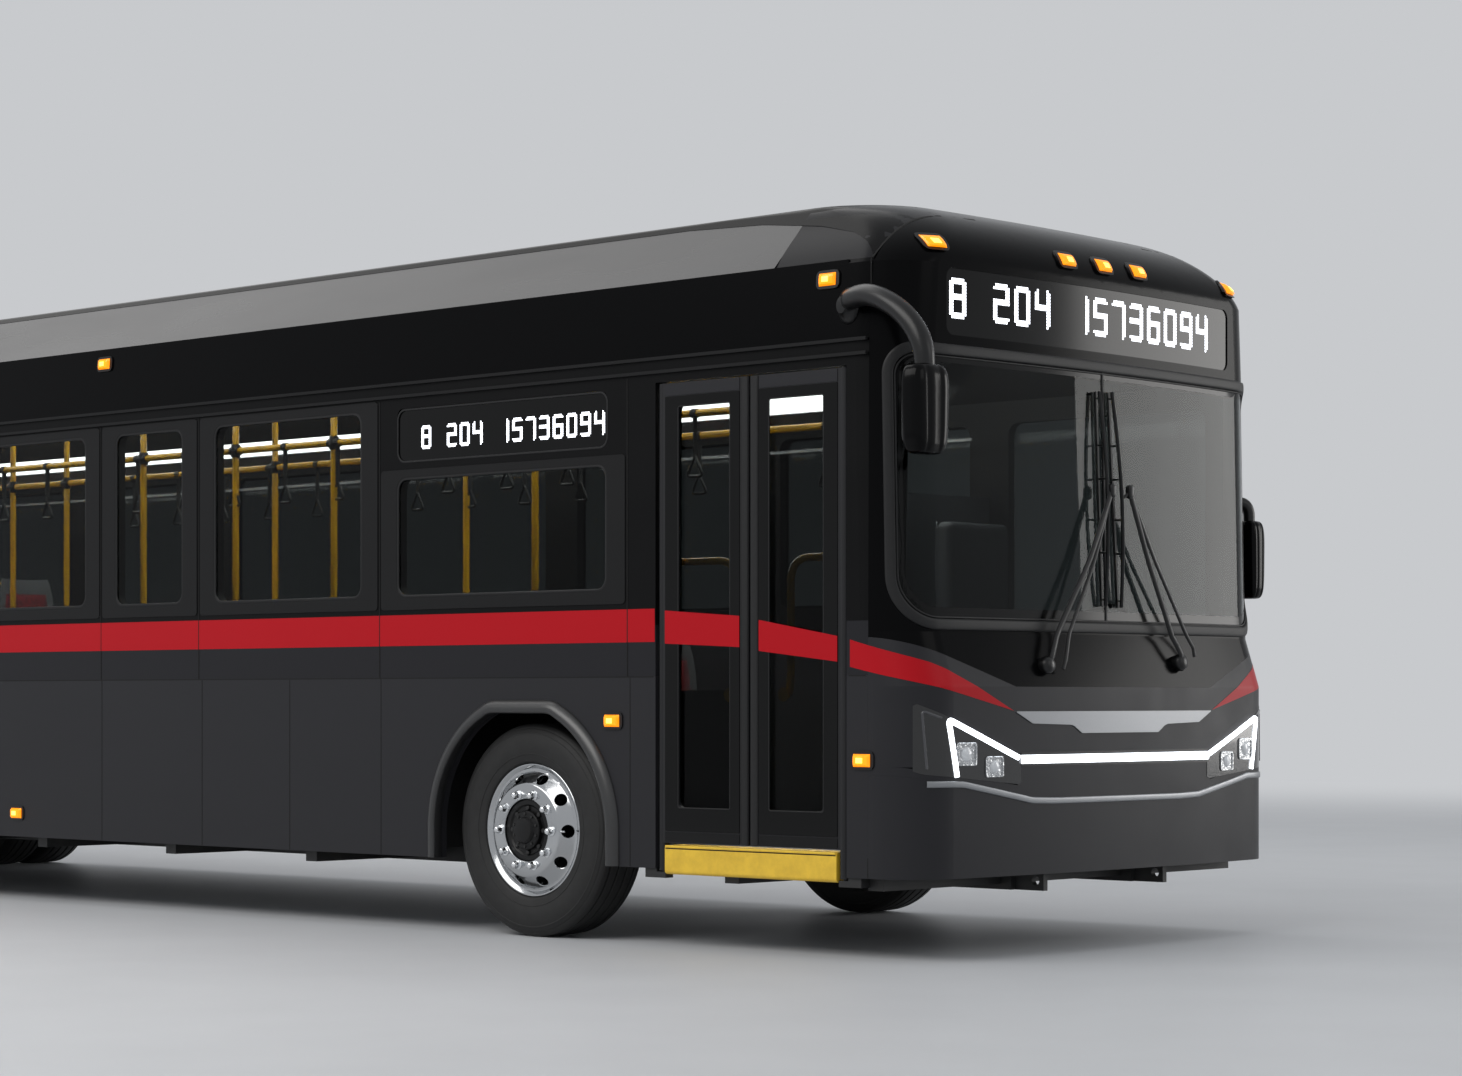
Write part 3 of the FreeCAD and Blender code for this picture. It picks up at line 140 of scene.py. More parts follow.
def surface(name, color, rough, bump=None, speck=None, streak=None, above=None, behind=None, **values):
    """A procedural finish on Object coordinates.

    bump is (size in metres, height): fine relief.  speck is (size, second colour, share): mottled colour.
    streak is (size along X, size across, change): drawn-out roughness, as brushing or rain leaves.
    above is (height, colour): the colour changes at that height, as on a two-tone body.
    behind is (place, height, colour): the colour changes behind that place and above that height.
    """
    made = blank(name)
    tree = made.node_tree
    place = add(tree, "ShaderNodeTexCoord").outputs["Object"]
    base = tint(color)
    if above:
        height, other = above
        split = add(tree, "ShaderNodeSeparateXYZ", {"Vector": place})
        higher = add(tree, "ShaderNodeMath", {0: split.outputs["Z"], 1: height}, operation="GREATER_THAN")
        base = add(tree, "ShaderNodeMix", {0: higher.outputs[0], 6: base, 7: tint(other)},
                   data_type="RGBA").outputs[2]
    if behind:
        mark, height, other = behind
        split = add(tree, "ShaderNodeSeparateXYZ", {"Vector": place})
        back = add(tree, "ShaderNodeMath", {0: split.outputs["X"], 1: mark}, operation="LESS_THAN")
        higher = add(tree, "ShaderNodeMath", {0: split.outputs["Z"], 1: height}, operation="GREATER_THAN")
        both = add(tree, "ShaderNodeMath", {0: back.outputs[0], 1: higher.outputs[0]}, operation="MULTIPLY")
        base = add(tree, "ShaderNodeMix", {0: both.outputs[0], 6: base, 7: tint(other)},
                   data_type="RGBA").outputs[2]
    if speck:
        size, other, share = speck
        grain = add(tree, "ShaderNodeTexNoise",
                    {"Vector": place, "Scale": 1 / size, "Detail": 4.0, "Roughness": 0.6})
        ramp = add(tree, "ShaderNodeMapRange",
                   {"Value": grain.outputs["Fac"], "From Min": 0.35, "From Max": 0.7, "To Max": share})
        base = add(tree, "ShaderNodeMix", {0: ramp.outputs["Result"], 6: base, 7: tint(other)},
                   data_type="RGBA").outputs[2]
    inputs = {"Base Color": base, "Roughness": rough}
    inputs.update({key.replace("_", " "): value for key, value in values.items()})
    if streak:
        along, across, change = streak
        turn = add(tree, "ShaderNodeMapping", {"Vector": place, "Scale": (1 / along, 1 / across, 1 / across)})
        drawn = add(tree, "ShaderNodeTexNoise",
                    {"Vector": turn.outputs["Vector"], "Scale": 1.0, "Detail": 3.0})
        level = add(tree, "ShaderNodeMapRange",
                    {"Value": drawn.outputs["Fac"], "From Min": 0.3, "From Max": 0.7,
                     "To Min": max(0.02, rough - change), "To Max": rough + change})
        inputs["Roughness"] = level.outputs["Result"]
    if bump:
        size, height = bump
        relief = add(tree, "ShaderNodeTexNoise", {"Vector": place, "Scale": 1 / size, "Detail": 3.0})
        raised = add(tree, "ShaderNodeBump",
                     {"Height": relief.outputs["Fac"], "Strength": 0.6, "Distance": height})
        inputs["Normal"] = raised.outputs["Normal"]
    shader = add(tree, "ShaderNodeBsdfPrincipled", inputs)
    add(tree, "ShaderNodeOutputMaterial", {"Surface": shader.outputs["BSDF"]})
    return made


# Each finish is named for the real material, and its comment says what the eye gets: colour, roughness, rest
FINISHES = {
    # Sprayed satin polyurethane on aluminium sheet: soft wide highlights and a faint orange peel of 4 mm
    "satin_polyurethane": ("lower", 0.40, dict(bump=(0.004, 0.00010), streak=(0.9, 0.25, 0.05),
                                               Specular_IOR_Level=0.2)),
    # The same paint with the darker window band masked above the stripe
    "two_tone_polyurethane": ("lower", 0.38, dict(bump=(0.004, 0.00010), streak=(0.9, 0.25, 0.05),
                                                  above=(1.385, "upper"), Specular_IOR_Level=0.1)),
    # Gelcoated glass-fibre moulding, polished: deep black with long soft reflections
    "black_gelcoat": ("#050506", 0.20, dict(bump=(0.35, 0.0006), Specular_IOR_Level=0.06)),
    # The same moulding, with the fairing's grey paint behind the cap's joint
    "painted_gelcoat": ("#060607", 0.20, dict(bump=(0.35, 0.0006), behind=(at(CAP_BACK), COVE, "#232325"),
                                              Specular_IOR_Level=0.06)),
    # Powder-coated aluminium extrusion: even, slightly grainy black
    "powder_coat": ("#101011", 0.45, dict(bump=(0.0016, 0.00018), Specular_IOR_Level=0.2)),
    # Sprayed satin paint on the sloping roof fairing, lighter where the sky lies in it
    "fairing_paint": ("#232325", 0.28, dict(bump=(0.5, 0.0010), streak=(1.4, 0.3, 0.04),
                                            Specular_IOR_Level=0.42)),
    # Satin paint of the door leaves, a shade darker than the body
    "door_paint": ("#1E1E20", 0.38, dict(bump=(0.004, 0.00012), streak=(0.2, 0.8, 0.05),
                                         Specular_IOR_Level=0.3)),
    # Weathered aluminium covers: dull grey with pale blooming
    "dull_aluminium": ("#77797C", 0.5, dict(speck=(0.25, "#8C8E90", 0.6), bump=(0.002, 0.0002), Metallic=0.7)),
    # Cut vinyl film: flat strong red with the gloss of its laminate
    "red_vinyl": ("stripe", 0.36, dict(bump=(0.02, 0.00008), Specular_IOR_Level=0.14)),
    # Extruded EPDM rubber: matt black with a soft sheen along its rounds
    "epdm_rubber": ("#121213", 0.5, dict(bump=(0.0012, 0.00012), speck=(0.02, "#1B1B1C", 0.5),
                                         Specular_IOR_Level=0.35)),
    # Polished rubber of the arch lips, with a soft roll of highlight
    "lip_rubber": ("#19191A", 0.34, dict(bump=(0.0012, 0.00008), Specular_IOR_Level=0.8)),
    # Dark seam: the shadow in a joint between panels. The same near-black is also painted shade on the plate
    # behind the engine grille's slats and in the roof fans' wells
    "joint_shadow": ("#040404", 0.9, dict(bump=(0.003, 0.0002))),
    # Laminated glass, grey, its low IOR keeping the pale studio out of it so that the cabin shows
    "laminated_glass": ("#6E7474", 0.0, dict(bump=(0.9, 0.0004), Transmission_Weight=1.0, IOR=1.20)),
    # Privacy-tinted toughened glass: dark neutral grey, a tenth of the light through, and the same low IOR
    "toughened_glass": ("#5A5E5E", 0.0, dict(bump=(0.9, 0.0004), Transmission_Weight=1.0, IOR=1.15)),
    # Ceramic frit baked on the glass edge: opaque, glossy, pure black
    "ceramic_frit": ("#050505", 0.14, dict(bump=(0.6, 0.0004), Specular_IOR_Level=0.2)),
    # Light-emitting dots of the destination signs: white, each one plainly bright
    "sign_dots": ("#F4F6FA", 0.5, dict(bump=(0.004, 0.0001), Emission_Color=srgb("#F2F6FF"),
                                       Emission_Strength=2.6)),
    # Light guide of the headlamp signature and the bar between them: even cold white
    "light_guide": ("#F4F8FF", 0.35, dict(bump=(0.02, 0.0001), Emission_Color=srgb("#F3F8FF"),
                                          Emission_Strength=4.0)),
    # Vacuum-metallised reflector: mirror bright with slight waviness
    "reflector": ("#B4B6B8", 0.08, dict(bump=(0.016, 0.0060), Metallic=1.0)),
    # Injection-moulded black ABS: fine satin grain
    "black_abs": ("#0D0D0E", 0.32, dict(bump=(0.0010, 0.00014), streak=(0.2, 0.1, 0.04),
                                        Specular_IOR_Level=0.4)),
    # Painted steel parts of the wipers: satin black with a thin worn edge
    "wiper_steel": ("#141415", 0.38, dict(bump=(0.003, 0.0001), Metallic=0.3)),
    # Satin anodised aluminium: light grey, brushed along the bus
    "anodised_aluminium": ("#8E9093", 0.36, dict(streak=(0.3, 0.004, 0.08), Metallic=0.7)),
    # Forged aluminium wheel, polished on the lathe: near mirror with fine turning marks
    "polished_aluminium": ("#B4B6B8", 0.13, dict(bump=(0.008, 0.0001), streak=(0.004, 0.08, 0.04),
                                                 Metallic=1.0)),
    # Hub castings in black paint, in the shade of the rim
    "hub_paint": ("#0A0A0B", 0.38, dict(bump=(0.004, 0.0004), Specular_IOR_Level=0.3)),
    # Chromed nut covers
    "chrome": ("#E8EAEC", 0.05, dict(bump=(0.01, 0.0001), Metallic=1.0)),
    # Cast iron under black chassis paint: lumpy sand-cast skin
    "chassis_paint": ("#121213", 0.45, dict(bump=(0.004, 0.0006), speck=(0.05, "#1D1C1B", 0.7))),
    # Hot-dip coated frame steel: dull dark grey with road dust low down
    "coated_steel": ("#1B1C1D", 0.55, dict(bump=(0.003, 0.0003), speck=(0.12, "#2A2825", 0.6))),
    # Tyre rubber: dry charcoal black, a little dusty
    "tyre_rubber": ("#141414", 0.66, dict(bump=(0.0015, 0.0002), speck=(0.05, "#202020", 0.6))),
    # Air spring rubber
    "bellows_rubber": ("#0E0E0E", 0.6, dict(bump=(0.002, 0.0003))),
    # Amber polycarbonate lens, lit from behind
    "amber_lens": ("#FF9A10", 0.18, dict(bump=(0.005, 0.0004), Emission_Color=srgb("#FF8A00"),
                                         Emission_Strength=1.1)),
    # The lamp's hot spot seen through the lens
    "amber_core": ("#FFD060", 0.3, dict(bump=(0.004, 0.0001), Emission_Color=srgb("#FFC24A"),
                                        Emission_Strength=3.2)),
    # Red polycarbonate lens with moulded prisms
    "prism_lens": ("#8E0A12", 0.12, dict(bump=(0.006, 0.0012), Coat_Weight=0.5, Emission_Color=srgb("#B01018"),
                                         Emission_Strength=0.15)),
    # Clear polycarbonate reversing lamp lens
    "white_lens": ("#D9DCDF", 0.12, dict(bump=(0.006, 0.0012), Coat_Weight=0.5)),
    # The same ABS, polished: mirror backs with sharp thin highlights
    "gloss_abs": ("#050506", 0.16, dict(bump=(0.03, 0.0003), Specular_IOR_Level=0.1)),
    # Polyester webbing of the hanging straps, woven fine
    "webbing": ("#131314", 0.85, dict(bump=(0.0014, 0.0004), Sheen_Weight=0.2)),
    # Powder-coated steel handrail in safety yellow: glossy with a soft roll of highlight
    "yellow_powder": ("#E0A910", 0.28, dict(bump=(0.003, 0.0001), Coat_Weight=0.3)),
    # Yellow door step edge: painted aluminium with scuffs
    "yellow_step": ("#F2C83C", 0.42, dict(bump=(0.003, 0.0002), speck=(0.06, "#C9A02C", 0.5))),
    # Warm-white acrylic diffuser of the ceiling lights
    "ceiling_diffuser": ("#F6F6F2", 0.5, dict(bump=(0.01, 0.0001), Emission_Color=srgb("#FFFDF6"),
                                              Emission_Strength=16.0)),
    # Acrylic cover of the light strips along the coves: even white
    "light_strip": ("#F6F6F2", 0.5, dict(bump=(0.01, 0.0001), Emission_Color=srgb("#FFFEFA"),
                                         Emission_Strength=16.0)),
    # Light grey laminate of the cove panels under the strips
    "cove_laminate": ("#A2A4A6", 0.4, dict(bump=(0.0016, 0.0002))),
    # Dark fabric-faced lining of the ceiling
    "dark_lining": ("#101011", 0.85, dict(bump=(0.0016, 0.0004))),
    # Moulded seat shell: grey ABS, finely grained
    "seat_shell": ("#6B6D70", 0.42, dict(bump=(0.0012, 0.0002))),
    # Cabin lining: grey laminate on ply
    "cabin_laminate": ("#3A3C40", 0.5, dict(bump=(0.0016, 0.0002), speck=(0.01, "#46484C", 0.35))),
    # Sheet rubber flooring with light flecks
    "fleck_flooring": ("#2C2E31", 0.62, dict(bump=(0.002, 0.0003), speck=(0.006, "#6F7378", 0.45))),
    # Wheel housing liner: textured black polyethylene
    "housing_liner": ("#0D0D0D", 0.7, dict(bump=(0.004, 0.0006))),
    # Soft polyurethane steering wheel rim
    "soft_polyurethane": ("#101011", 0.5, dict(bump=(0.0012, 0.0002))),
    # Black inside of a headlamp behind its lens
    "lamp_housing": ("#0C0C0D", 0.16, dict(bump=(0.006, 0.0006), Coat_Weight=0.5, Coat_Roughness=0.03)),
    # Smoked polycarbonate of the lamp's outer cell
    "smoked_lens": ("#3A3A3E", 0.12, dict(bump=(0.006, 0.0008), Coat_Weight=0.6)),
    # First-surface mirror glass
    "mirror_glass": ("#E9ECEE", 0.01, dict(bump=(0.8, 0.0002), Metallic=1.0)),
}


def finish(name):
    """The material of that name, made when it is first asked for."""
    found = bpy.data.materials.get(name)
    if found:
        return found
    if name == "red_moquette":
        return seat_cloth(name)
    color, rough, extra = FINISHES[name]
    return surface(name, color, rough, **extra)


def seat_cloth(name):
    """Moquette: a dense short red pile with darker flecks, woven at 3 mm so that it still shows."""
    made = blank(name)
    tree = made.node_tree
    place = add(tree, "ShaderNodeTexCoord").outputs["Object"]
    weave = add(tree, "ShaderNodeTexVoronoi", {"Vector": place, "Scale": 1 / 0.003})
    fleck = add(tree, "ShaderNodeTexNoise", {"Vector": place, "Scale": 1 / 0.02, "Detail": 2.0})
    level = add(tree, "ShaderNodeMapRange",
                {"Value": fleck.outputs["Fac"], "From Min": 0.48, "From Max": 0.56})
    mix = add(tree, "ShaderNodeMix", {0: level.outputs["Result"], 6: srgb("#8E1420"), 7: srgb("#5E0F18")},
              data_type="RGBA")
    raised = add(tree, "ShaderNodeBump",
                 {"Height": weave.outputs["Distance"], "Strength": 0.7, "Distance": 0.0006})
    shader = add(tree, "ShaderNodeBsdfPrincipled",
                 {"Base Color": mix.outputs[2], "Roughness": 0.9, "Normal": raised.outputs["Normal"],
                  "Sheen Weight": 0.35})
    add(tree, "ShaderNodeOutputMaterial", {"Surface": shader.outputs["BSDF"]})
    return made


# Shapes: each function gives (vertices, faces) as whole arrays

def spread(*values):
    """The values as arrays of one common shape."""
    return np.broadcast_arrays(*[np.asarray(value, float) for value in values])


def grid(points, close_u=False, close_v=False):
    """Quads over an array of points (u, v, 3); point (i, j) joins (i+1, j), (i+1, j+1) and (i, j+1)."""
    points = np.asarray(points, float)
    nu, nv = points.shape[:2]
    i = np.arange(nu if close_u else nu - 1)[:, None]
    j = np.arange(nv if close_v else nv - 1)[None, :]
    ahead, beside = (i + 1) % nu, (j + 1) % nv
    corners = [(i % nu) * nv + j, ahead * nv + j, ahead * nv + beside, (i % nu) * nv + beside]
    faces = np.stack([np.broadcast_to(c, (i.shape[0], j.shape[1])) for c in corners], -1).reshape(-1, 4)
    return points.reshape(-1, 3), faces


def joined(*parts):
    """One (vertices, faces) pair from several, with the later ones' face numbers moved up."""
    offset = np.cumsum([0] + [len(v) for v, f in parts[:-1]])
    return np.vstack([v for v, f in parts]), np.vstack([f + o for (v, f), o in zip(parts, offset)])


def fan(ring, first, mid):
    """Triangles from a closed ring of points to one point inside it, as quads with a doubled corner."""
    k = np.arange(ring)
    return np.stack([first + k, first + (k + 1) % ring, np.full(ring, mid), np.full(ring, mid)], 1)


def shell(points, closed=False):
    """A closed solid from rings of points (ring, point, 3): quads between rings, fans over both ends."""
    points = np.asarray(points, float)
    v, f = grid(points, close_u=closed, close_v=True)
    if closed:
        return v, f
    rings, ring = points.shape[:2]
    mids = points[[0, -1]].mean(1)
    first = fan(ring, 0, len(v))
    last = fan(ring, (rings - 1) * ring, len(v) + 1)
    return np.vstack([v, mids]), np.vstack([f, first, last])


def plate(skin, u, z, out, thick):
    """A solid plate on a skin: outer points skin(u, z, out), inner ones thick behind them, and a rim between.
    u and z are arrays (row, column); out may be one value or such an array."""
    u, z = spread(u, z)
    outer = skin(u, z, np.zeros_like(u) + out)
    inner = skin(u, z, np.zeros_like(u) + out - thick)
    rings = np.concatenate([outer, inner[:, ::-1]], 1)
    v, f = grid(rings, close_v=True)
    ring, half = rings.shape[1], outer.shape[1]
    k = np.arange(half - 1)
    end = np.stack([k, k + 1, ring - 2 - k, ring - 1 - k], 1)
    return v, np.vstack([f, end, end + (len(rings) - 1) * ring])


def between(along, low, high, count):
    """Two arrays for plate: columns at the places along, filled with count points from low to high."""
    along = np.asarray(along, float)
    t = np.linspace(0, 1, count)[None, :]
    low, high = np.asarray(low, float)[..., None], np.asarray(high, float)[..., None]
    return along[:, None] + 0 * t, low + (high - low) * t


def rounded(u0, u1, z0, z1, radius, steps=(24, 12), arc=7):
    """Two arrays for plate: a rectangle with round corners, as columns that shorten by
    radius - sqrt(radius^2 - distance^2) near each end."""
    turn = np.linspace(0, math.pi / 2, arc)
    ends = radius * (1 - np.cos(turn))
    cut = radius * (1 - np.sin(turn))
    middle = np.linspace(u0 + radius, u1 - radius, steps[0])
    along = np.concatenate([u0 + ends[:-1], middle, u1 - ends[:-1][::-1]])
    short = np.concatenate([cut[:-1], np.zeros(steps[0]), cut[:-1][::-1]])
    return between(along, z0 + short, z1 - short, steps[1])


def loop(u0, u1, z0, z1, radius, arc=8, side=1):
    """A closed outline (u, z): four round corners of arc points each, in the order low right, high right,
    high left, low left, with side points on every straight run.  radius may hold four values."""
    radii = np.broadcast_to(np.asarray(radius, float), 4)
    inwards = [(-1, 1), (-1, -1), (1, -1), (1, 1)]
    centres = np.array([(u1, z0), (u1, z1), (u0, z1), (u0, z0)]) + radii[:, None] * inwards
    turn = np.linspace(-math.pi / 2, 0, arc)[None, :] + (np.arange(4) * math.pi / 2)[:, None]
    corners = centres[:, None] + radii[:, None, None] * np.stack([np.cos(turn), np.sin(turn)], -1)
    ends = np.roll(corners[:, 0], -1, 0)
    t = (np.arange(side) + 1) / (side + 1)
    sides = corners[:, -1][:, None] + (ends - corners[:, -1])[:, None] * t[None, :, None]
    return np.concatenate([corners, sides], 1).reshape(-1, 2)


def laid(skin, path, section, closed=False):
    """A section of (across, out) pairs carried along a path (u, z) on a skin."""
    path = np.asarray(path, float)
    step = (np.roll(path, -1, 0) - np.roll(path, 1, 0)) if closed else np.gradient(path, axis=0)
    step /= np.linalg.norm(step, axis=1, keepdims=True)
    across = np.stack([step[:, 1], -step[:, 0]], 1)
    section = np.asarray(section, float)
    u = path[:, None, 0] + section[None, :, 0] * across[:, None, 0]
    z = path[:, None, 1] + section[None, :, 0] * across[:, None, 1]
    return shell(skin(u, z, section[None, :, 1] + np.zeros_like(u)), closed)


def ring_plate(skin, outer, inner, out, thick, edge=0.003):
    """A flat frame on a skin between two outlines with as many points each, its outer edges chamfered."""
    outer, inner = np.asarray(outer, float), np.asarray(inner, float)
    way = inner - outer
    way /= np.linalg.norm(way, axis=1, keepdims=True)
    rows = [(outer, out - thick), (outer, out - edge), (outer + way * edge, out),
            (inner - way * edge, out), (inner, out - edge), (inner, out - thick)]
    points = np.stack([skin(r[:, 0], r[:, 1], np.full(len(r), o)) for r, o in rows], 1)
    return shell(points, True)


def bead(width, height, count=12, power=0.75, foot=0.0):
    """Section of a low rounded bead: across = width/2 * cos t, out = height * sin t, both to the given
    power, with a flat foot below the skin."""
    t = np.linspace(0, math.pi, count)
    u = width / 2 * signed_power(np.cos(t), power)
    o = height * np.abs(np.sin(t)) ** power
    line = np.stack([u, o], 1)
    return np.vstack([line, [(-width / 2, -foot), (width / 2, -foot)]]) if foot else line


def copies(part, moves):
    """The part repeated: every move is a 3 by 4 matrix, rotation and place."""
    v, f = part
    moves = np.asarray(moves, float)
    placed = np.einsum("mij,nj->mni", moves[:, :, :3], v) + moves[:, None, :, 3]
    faces = f[None] + (np.arange(len(moves)) * len(v))[:, None, None]
    return placed.reshape(-1, 3), faces.reshape(-1, f.shape[1])


def places(*spots):
    """Moves for copies: the part only shifted to each spot."""
    return [np.hstack([np.eye(3), np.reshape(spot, (3, 1))]) for spot in spots]


def around(count, centre, radius, start=0.0):
    """Moves for copies: count places on a circle across Y, the part's own z turned outwards."""
    moves = []
    for a in start + np.arange(count) * TAU / count:
        c, s = math.cos(a), math.sin(a)
        turn = np.array([(c, 0, s), (0, 1, 0), (-s, 0, c)])
        moves.append(np.hstack([turn, (np.array(centre) + turn @ (0, 0, radius))[:, None]]))
    return moves


def flipped(part):
    """The part across the centre plane, y to -y, with its faces turned back outwards."""
    v, f = part
    return v * (1, -1, 1), f[:, ::-1]


def turned(profile, centre=(0, 0, 0), axis=(0, 1, 0), steps=96, closed=True):
    """A profile of (radius, along) carried round an axis: centre + along * axis + radius * (cos t, sin t)."""
    profile = np.asarray(profile, float)
    axis = np.asarray(axis, float) / np.linalg.norm(axis)
    side = np.cross(axis, (0.0, 0.0, 1.0) if abs(axis[2]) < 0.9 else (1.0, 0.0, 0.0))
    side /= np.linalg.norm(side)
    up = np.cross(axis, side)
    t = np.arange(steps) * TAU / steps
    ring = np.cos(t)[:, None] * side + np.sin(t)[:, None] * up
    points = np.asarray(centre) + profile[None, :, 1:2] * axis + profile[None, :, 0:1] * ring[:, None, :]
    return grid(points, close_u=True, close_v=closed)


def bent(points, radius, steps=6):
    """A route of straight runs with round corners: quadratic curves between points set back by the radius."""
    points = np.asarray(points, float)
    before, corner, after = points[:-2], points[1:-1], points[2:]
    back, ahead = before - corner, after - corner
    back_length = np.linalg.norm(back, axis=1, keepdims=True)
    ahead_length = np.linalg.norm(ahead, axis=1, keepdims=True)
    start = corner + back / back_length * np.minimum(radius, back_length * 0.49)
    end = corner + ahead / ahead_length * np.minimum(radius, ahead_length * 0.49)
    t = np.linspace(0, 1, steps)[None, :, None]
    curve = start[:, None] * (1 - t) ** 2 + corner[:, None] * 2 * t * (1 - t) + end[:, None] * t ** 2
    return np.vstack([points[:1], curve.reshape(-1, points.shape[1]), points[-1:]])


def swept(path, section, up=(0.0, 0.0, 1.0), closed=False, scale=None):
    """A flat section of (side, rise) pairs along a path; side = up x tangent and rise = tangent x side."""
    path, section = np.asarray(path, float), np.asarray(section, float)
    tangent = np.roll(path, -1, 0) - np.roll(path, 1, 0) if closed else np.gradient(path, axis=0)
    tangent /= np.linalg.norm(tangent, axis=1, keepdims=True)
    side = np.cross(np.broadcast_to(up, path.shape), tangent)
    side /= np.linalg.norm(side, axis=1, keepdims=True)
    rise = np.cross(tangent, side)
    size = np.ones(len(path)) if scale is None else np.asarray(scale, float)
    flat = section[None, :, 0:1] * side[:, None] + section[None, :, 1:2] * rise[:, None]
    return shell(path[:, None] + size[:, None, None] * flat, closed)


def circle(radius, sides=12):
    """A round section."""
    t = -np.arange(sides) * TAU / sides
    return np.stack([np.cos(t), np.sin(t)], 1) * radius


def tube(path, radius, sides=12, up=(0.0, 0.0, 1.0), closed=False, scale=None):
    """A round bar along a path."""
    return swept(path, circle(radius, sides), up, closed, scale)


def rod(start, end, radius, sides=12):
    """A round bar between two points."""
    start, end = np.asarray(start, float), np.asarray(end, float)
    run = end - start
    up = (1.0, 0.0, 0.0) if abs(run[2]) > 0.8 * np.linalg.norm(run) else (0.0, 0.0, 1.0)
    return tube(np.stack([start, (start + end) / 2, end]), radius, sides, up)


def signed_power(wave, exponent):
    """The wave's size to the exponent, with the wave's sign."""
    return np.sign(wave) * np.abs(wave) ** exponent


def pillow(centre, half, square, steps):
    """A superellipsoid: its half sizes times signed powers of the sines and cosines of two angles."""
    u = np.linspace(0, TAU, steps[0], endpoint=False)[:, None]
    v = np.linspace(-math.pi / 2, math.pi / 2, steps[1])[None, :]
    level = np.abs(np.cos(v)) ** square
    points = np.stack(spread(level * signed_power(np.cos(u), square),
                             level * signed_power(np.sin(u), square), signed_power(np.sin(v), square)), -1)
    return grid(points * half + np.asarray(centre), close_u=True)


def slab(x0, x1, y0, y1, z0, z1, edge=0.004):
    """A box with chamfered edges: rings of an eight-sided outline carried up its height."""
    edge = min(edge, 0.45 * min(x1 - x0, y1 - y0, z1 - z0))
    inset = np.array([edge, 0.0, 0.0, edge])
    level = np.array([z0, z0 + edge, z1 - edge, z1])
    ring = np.array([(1, 1, 1, 0), (1, 1, 0, 1), (-1, 1, 0, 1), (-1, 1, 1, 0),
                     (-1, -1, 1, 0), (-1, -1, 0, 1), (1, -1, 0, 1), (1, -1, 1, 0)], float)
    mid = np.array([(x0 + x1) / 2, (y0 + y1) / 2])
    half = np.array([(x1 - x0) / 2, (y1 - y0) / 2])
    flat = ring[None, :, :2] * (half - inset[:, None, None] - edge * ring[None, :, 3:1:-1]) + mid
    points = np.concatenate([flat, np.broadcast_to(level[:, None, None], (4, 8, 1))], -1)
    return shell(points)


# Skins: each function turns places along and up a panel, and a distance out of it, into points of the bus

def leaned(z):
    """How far the front lies back at a height: upright to the mask's edge, then in steps to the header."""
    return np.interp(z, [SKIRT, MASK_Z, SILL_Z, RAIL, HEADER], [0, 0, SILL_DROP, FRONT_LEAN, FRONT_LEAN])


def front_skin(u, z, out):
    """The front: u is the arc length from the middle towards the driver's side.  Plan view is an arc of
    12 m radius with a small corner arc and the straight side behind it; the outline moves back with height."""
    u, z, out = spread(u, z, out)
    share = np.clip((z - HEADER) / (CROWN - HEADER), 0, 1)
    back = leaned(z) + DOME * (1 - np.sqrt(1 - share ** 2))
    half = np.interp(z, [SKIRT, RAIL, COVE, SHOULDER, CROWN],
                     [HALF_WIDTH, HALF_WIDTH, HALF_WIDTH - COVE_LEAN, HALF_WIDTH - SHOULDER_INSET,
                      HALF_WIDTH - CROWN_INSET])
    x, y = plan(np.abs(u), FRONT_FACE - back, half, CORNER + 0.09 * share, FRONT_RADIUS, out)
    return np.stack([at(x), np.sign(u) * y, z], -1)


def plan(along, nose, half, corner, radius, out):
    """Plan view of an end: an arc of the large radius, a corner arc that meets it, then the side."""
    centre = nose - radius
    rise = half - corner
    middle = centre + np.sqrt((radius - corner) ** 2 - rise ** 2)
    turn = np.arcsin(rise / (radius - corner))
    flat, bend = radius * turn, corner * (math.pi / 2 - turn)
    angle = turn + (along - flat) / corner
    past = along - flat - bend
    x = np.where(along <= flat, centre + (radius + out) * np.cos(along / radius),
                 np.where(past <= 0, middle + (corner + out) * np.cos(angle), middle - past))
    y = np.where(along <= flat, (radius + out) * np.sin(along / radius),
                 np.where(past <= 0, rise + (corner + out) * np.sin(angle), half + out))
    return x, y


def side_start(nose, corner, radius):
    """Arc length and place where the straight side begins behind the corner arc of plan."""
    rise = HALF_WIDTH - corner
    turn = math.asin(rise / (radius - corner))
    middle = nose - radius + math.sqrt((radius - corner) ** 2 - rise ** 2)
    return radius * turn + corner * (math.pi / 2 - turn), middle


SIDE_START, SIDE_X = side_start(FRONT_FACE, CORNER, FRONT_RADIUS)
REAR_SIDE_START, REAR_SIDE_X = side_start(REAR_SKIN, REAR_CORNER, REAR_RADIUS)


def rear_skin(u, z, out):
    """The rear: u is the arc length from the middle towards the driver's side, on an arc of 40 m radius."""
    u, z, out = spread(u, z, out)
    x, y = plan(np.abs(u), REAR_SKIN, np.full_like(z, HALF_WIDTH), REAR_CORNER, REAR_RADIUS, out)
    return np.stack([-x, np.sign(u) * y, z], -1)


def right_skin(u, z, out):
    """The kerb side: u is the distance from the front axle."""
    u, z, out = spread(u, z, out)
    lean = np.interp(z, [RAIL, COVE], [0, COVE_LEAN])
    return np.stack([at(u), -(HALF_WIDTH - lean + out), z], -1)


def left_skin(u, z, out):
    """The driver's side, the kerb side mirrored."""
    return right_skin(u, z, out) * (1, -1, 1)


